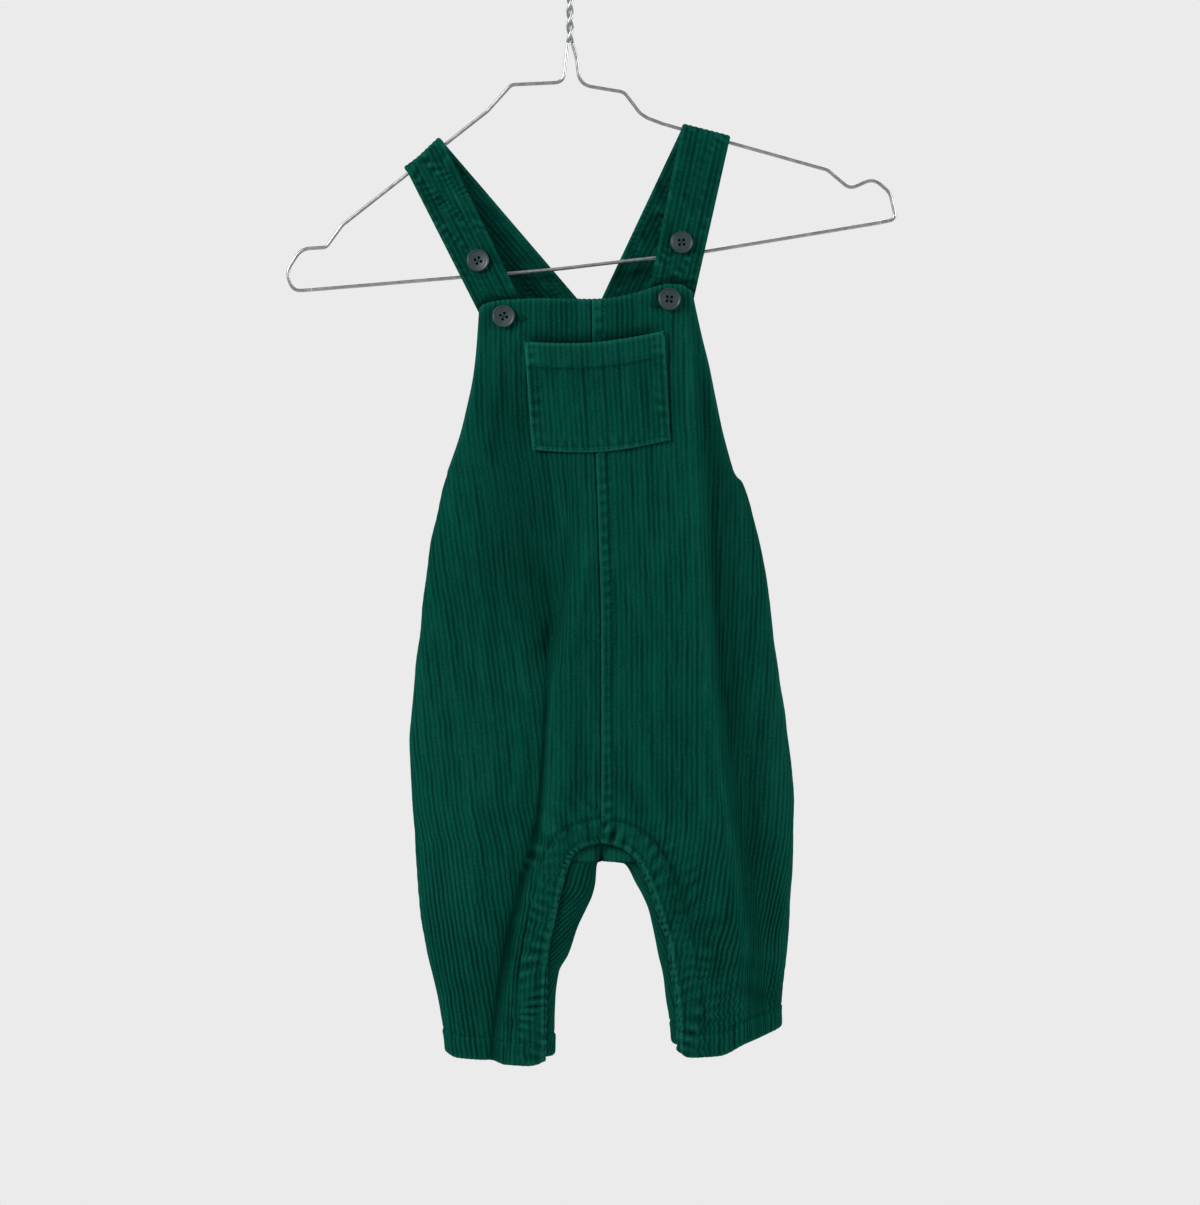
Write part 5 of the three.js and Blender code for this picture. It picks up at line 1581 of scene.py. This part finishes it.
def stitch_tree(thread):
    """Geometry Nodes that sew a line: stitches laid end to end along it, each turned a little at random."""
    tree = bpy.data.node_groups.new("lockstitch", "GeometryNodeTree")
    tree.interface.new_socket("Line", in_out="INPUT", socket_type="NodeSocketGeometry")
    for name, value in (("Pitch", 0.003), ("Thickness", 0.0003), ("Length", 0.0012)):
        socket = tree.interface.new_socket(name, in_out="INPUT", socket_type="NodeSocketFloat")
        socket.default_value = value
    tree.interface.new_socket("Stitches", in_out="OUTPUT", socket_type="NodeSocketGeometry")
    given = add_node(tree, "NodeGroupInput").outputs
    points = add_node(
        tree, "GeometryNodeResampleCurve", {"Curve": given["Line"], "Length": given["Pitch"]}, mode="LENGTH"
    ).outputs[0]
    stitch = add_node(tree, "GeometryNodeMeshUVSphere", {"Segments": 6, "Rings": 4, "Radius": 1.0}).outputs[0]
    size = add_node(
        tree, "ShaderNodeCombineXYZ", {"X": given["Thickness"], "Y": given["Thickness"], "Z": given["Length"]}
    ).outputs[0]
    stitch = add_node(tree, "GeometryNodeTransform", {"Geometry": stitch, "Scale": size}).outputs[0]
    tangent = add_node(tree, "GeometryNodeInputTangent").outputs[0]
    turned = add_node(tree, "FunctionNodeAlignRotationToVector", {"Vector": tangent}, axis="Z").outputs[0]
    wander = add_node(
        tree,
        "FunctionNodeRandomValue",
        {0: (-0.05, -0.05, -0.05), 1: (0.05, 0.05, 0.05), "Seed": 4},
        data_type="FLOAT_VECTOR",
    ).outputs[0]
    turned = add_node(tree, "FunctionNodeRotateRotation", {"Rotation": turned, "Rotate By": wander}).outputs[0]
    placed = add_node(
        tree, "GeometryNodeInstanceOnPoints", {"Points": points, "Instance": stitch, "Rotation": turned}
    ).outputs[0]
    real = add_node(tree, "GeometryNodeRealizeInstances", {"Geometry": placed}).outputs[0]
    made = add_node(tree, "GeometryNodeSetMaterial", {"Geometry": real, "Material": thread}).outputs[0]
    add_node(tree, "NodeGroupOutput", {"Stitches": made})
    return tree


def sewn(name, lines, tree, pitch=3.0, thickness=0.3, length=1.25):
    """Stitches along lines of millimetre points, as one mesh."""
    curve = bpy.data.curves.new(name, "CURVE")
    curve.dimensions = "3D"
    for line in lines:
        spline = curve.splines.new("POLY")
        spline.points.add(len(line) - 1)
        points = np.concatenate([np.asarray(line) * MM, np.ones((len(line), 1))], axis=1)
        spline.points.foreach_set("co", points.ravel())
    source = bpy.data.objects.new(name + "_line", curve)
    bpy.context.scene.collection.objects.link(source)
    modifier = source.modifiers.new("lockstitch", "NODES")
    modifier.node_group = tree
    sizes = {"Pitch": pitch * MM, "Thickness": thickness * MM, "Length": length * MM}
    for item in tree.interface.items_tree:
        if item.name in sizes:
            modifier[item.identifier] = sizes[item.name]
    graph = bpy.context.evaluated_depsgraph_get()
    mesh = bpy.data.meshes.new_from_object(source.evaluated_get(graph))
    mesh.name = name
    mesh.polygons.foreach_set("use_smooth", np.ones(len(mesh.polygons), bool))
    bpy.data.objects.remove(source)
    piece = bpy.data.objects.new(name, mesh)
    bpy.context.scene.collection.objects.link(piece)
    return piece


def on_panel(panel, angle, drop, lift):
    point = cloth_point(panel.half, angle, drop, panel.face)
    normal = cloth_normal(panel.half, angle, drop, panel.face)
    return point + normal * lift


def on_front(x, drop, lift):
    point, normal = front_face(np.asarray(x, float), np.asarray(drop, float))
    return point + normal * lift


def seam_lines(panels):
    """Every row of topstitching on the four panels."""
    lines = []
    drops = np.arange(BIB_TOP + 2, ARCH_TOP - 18, 2.0)
    lines.append(on_front(centre_x(drops) + 7.2, drops, 0.1))
    for panel in panels.values():
        row = panel.row(HEM - 15.6)
        facing = slice(4, -36, 3)
        lines.append(on_panel(panel, row["angle"][facing], row["drop"][facing], 0.1))
    tangent = unit(np.gradient(ARCH_LINE, axis=0))
    beside = ARCH_LINE + np.stack([tangent[:, 1], -tangent[:, 0]], axis=-1) * 16.8
    beside = beside[(beside[:, 1] < HEM - 1) & (from_arch(beside[:, 0], beside[:, 1])[0] > 16.2)]
    lines.append(on_front(beside[:, 0], beside[:, 1], 0.15)[::2])
    return lines


def buttonholes():
    """The worked ends of the bib's two buttonholes that show beside their buttons, in short cross stitches."""
    lines = []
    for start_x, end_x, drop in ((-37.5, -31.6, 290.0), (59.5, 55.2, 280.6)):
        for x in np.linspace(start_x, end_x, 13):
            for side in (-1, 1):
                across = drop + side * np.array([0.35, 1.5])
                lines.append(on_front(np.full(2, x), across, 0.55))
        for turn in np.linspace(-1.2, 1.2, 7):
            out = np.sign(end_x - start_x) * math.cos(turn)
            reach = np.array([0.35, 1.5])
            lines.append(on_front(end_x + out * reach, drop + math.sin(turn) * reach, 0.55))
    return lines


def bartacks():
    """Close stitches across both top corners of the pocket."""
    lines = []
    for x, drop in ((-29.0, 306.4), (60.6, 299.4)):
        for step in np.linspace(0, 2.6, 8):
            lines.append(on_front(x + np.array([0, 1.6]), drop + step + np.array([0, 0.2]), POCKET_GAP + CLOTH + 0.5))
    return lines


def pocket_lines():
    """The pocket's turned top is stitched across, and its other three edges are stitched to the bib."""
    lines = []
    lift = POCKET_GAP + CLOTH + 0.35
    across = np.linspace(0.02, 0.98, 60)
    x, drop, _ = pocket_place(across, POCKET["hem"] / 72.5)
    gape = 3.0 * np.sin(np.pi * across) ** 0.7 * (1 - smooth(POCKET["hem"] / 34))
    point, normal = front_face(x, drop)
    lines.append(point + normal * (lift + gape)[:, None])
    down = np.linspace(0.01, 0.978, 50)
    for side in (0.017, 0.983):
        x, drop, _ = pocket_place(np.full(down.shape, side), down)
        lines.append(on_front(x, drop, lift - 0.3))
    across = np.linspace(0.017, 0.983, 60)
    x, drop, _ = pocket_place(across, np.full(across.shape, 0.978))
    lines.append(on_front(x, drop, lift - 0.3))
    return lines


def button_threads(name):
    """Two turns of thread through a button's holes, in its own frame."""
    place = np.array(button_frame(name))
    lines = []
    for side in (-1, 1):
        sweep = np.linspace(-1, 1, 13)
        for lane in (-0.1, 0.1):
            arch = 1.72 - 1.9 * sweep**6
            reach = HOLE_SPACING - 0.15
            own = np.stack([sweep * reach, side * sweep * reach + lane, arch], axis=-1)
            lines.append(own @ place[:3, :3].T + place[:3, 3])
    return lines


pile, cloth_back = corduroy_pile(), corduroy_back()
thread, resin, wire = sewing_thread(), button_resin(), galvanised_wire()
stitches = stitch_tree(thread)

panels = {}
for face in ("front", "back"):
    for half in (RIGHT, LEFT):
        panel = Panel(face, half)
        panels[face, half] = panel
        piece = panel_object(panel, [pile, cloth_back])
        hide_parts(panel.name)
        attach(piece, "root")

pocket = pocket_object([pile, cloth_back])
band = crotch_band_object([pile, cloth_back])
for piece, node in ((pocket, "chest_pocket"), (band, "crotch_band")):
    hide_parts(node)
    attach(piece, "root")

for half in (RIGHT, LEFT):
    strap = strap_object(half, [pile])
    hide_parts(f"strap_{SIDE_NAMES[half]}")
    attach(strap, "root")

for name in BUTTONS:
    button = button_object(name, resin)
    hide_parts(name)
    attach(button, "root")

for name, lines, pitch, thickness, length in (
    ("seam_topstitching", seam_lines(panels), 3.0, 0.3, 1.25),
    ("pocket_topstitching", pocket_lines(), 3.0, 0.3, 1.25),
    ("button_thread", [line for name in BUTTONS for line in button_threads(name)], 0.4, 0.1, 0.4),
    ("buttonhole_thread", buttonholes(), 1.2, 0.26, 0.7),
    ("bartack_thread", bartacks(), 1.6, 0.24, 0.9),
):
    sewing = sewn(name, lines, stitches, pitch, thickness, length)
    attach(sewing, "root")

wire_paths = {
    "hanger_hook": hook_path(),
    "hanger_twist": twist_path(0),
    "hanger_arm_right": bent_path(WIRE_ARMS[RIGHT]),
    "hanger_arm_left": bent_path(WIRE_ARMS[LEFT]),
    "hanger_bar": bent_path(WIRE_BAR),
}
for name, path in wire_paths.items():
    piece = tube_object(name + "_wire", path, WIRE_RADIUS, wire)
    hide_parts(name)
    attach(piece, "root")


def add_area_light(name, place, target, size, watts, colour="#ffffff"):
    lamp = bpy.data.lights.new(name, "AREA")
    lamp.shape, lamp.size, lamp.size_y = "RECTANGLE", size[0], size[1]
    lamp.energy = watts
    lamp.color = linear(colour)[:3]
    light = bpy.data.objects.new(name, lamp)
    light.location = place
    aim = Vector(target) - Vector(place)
    light.rotation_euler = aim.to_track_quat("-Z", "Y").to_euler()
    bpy.context.scene.collection.objects.link(light)


def add_world():
    """A pale grey room: the camera sees it at the grey of the photograph, and the cloth is lit less by it."""
    world = bpy.data.worlds.new("pale grey room")
    bpy.context.scene.world = world
    world.use_nodes = True
    tree = world.node_tree
    tree.nodes.clear()
    seen = add_node(tree, "ShaderNodeBackground", {"Color": linear("#ebebeb"), "Strength": 1.0})
    lit = add_node(tree, "ShaderNodeBackground", {"Color": linear("#ffffff"), "Strength": 0.34})
    ray = add_node(tree, "ShaderNodeLightPath").outputs["Is Camera Ray"]
    both = add_node(tree, "ShaderNodeMixShader", {0: ray, 1: lit.outputs[0], 2: seen.outputs[0]})
    add_node(tree, "ShaderNodeOutputWorld", {"Surface": both.outputs[0]})


def add_floor():
    turns = 2 * np.pi * np.arange(64) / 64
    rim = [(0.02 + 0.6 * math.cos(t), 0.6 * math.sin(t), -1.0) for t in turns]
    mesh = bpy.data.meshes.new("studio_floor")
    mesh.from_pydata(rim, [], [list(range(64))])
    material, tree = new_material("matt grey paint")
    shader = add_node(tree, "ShaderNodeBsdfPrincipled", {"Base Color": linear("#dcdcdc"), "Roughness": 0.9})
    finish_material(tree, shader)
    mesh.materials.append(material)
    floor = bpy.data.objects.new("studio_floor", mesh)
    bpy.context.scene.collection.objects.link(floor)


def add_camera():
    """Square on to the photograph's frame, which is 804 mm wide at the cloth."""
    camera = bpy.data.cameras.new("camera")
    camera.sensor_fit, camera.sensor_width = "HORIZONTAL", 36
    distance, frame_width = 3.2, 0.804
    camera.lens = 36 * distance / frame_width
    view = bpy.data.objects.new("camera", camera)
    view.location = (0.0201, -0.012 - distance, -0.4802)
    view.rotation_euler = (math.pi / 2, 0, 0)
    bpy.context.scene.collection.objects.link(view)
    bpy.context.scene.camera = view


add_world()
add_floor()
add_camera()
add_area_light("window_high_left", (-2.1, -1.45, 0.85), (0, 0, -0.5), (0.9, 0.9), 81)
add_area_light("fill_right", (2.2, -0.9, 0.1), (0, 0, -0.5), (1.2, 1.2), 36)
add_area_light("back_room", (0.6, 2.2, 0.6), (0, 0, -0.5), (1.4, 1.4), 22)
bpy.context.scene.view_settings.view_transform = "Standard"
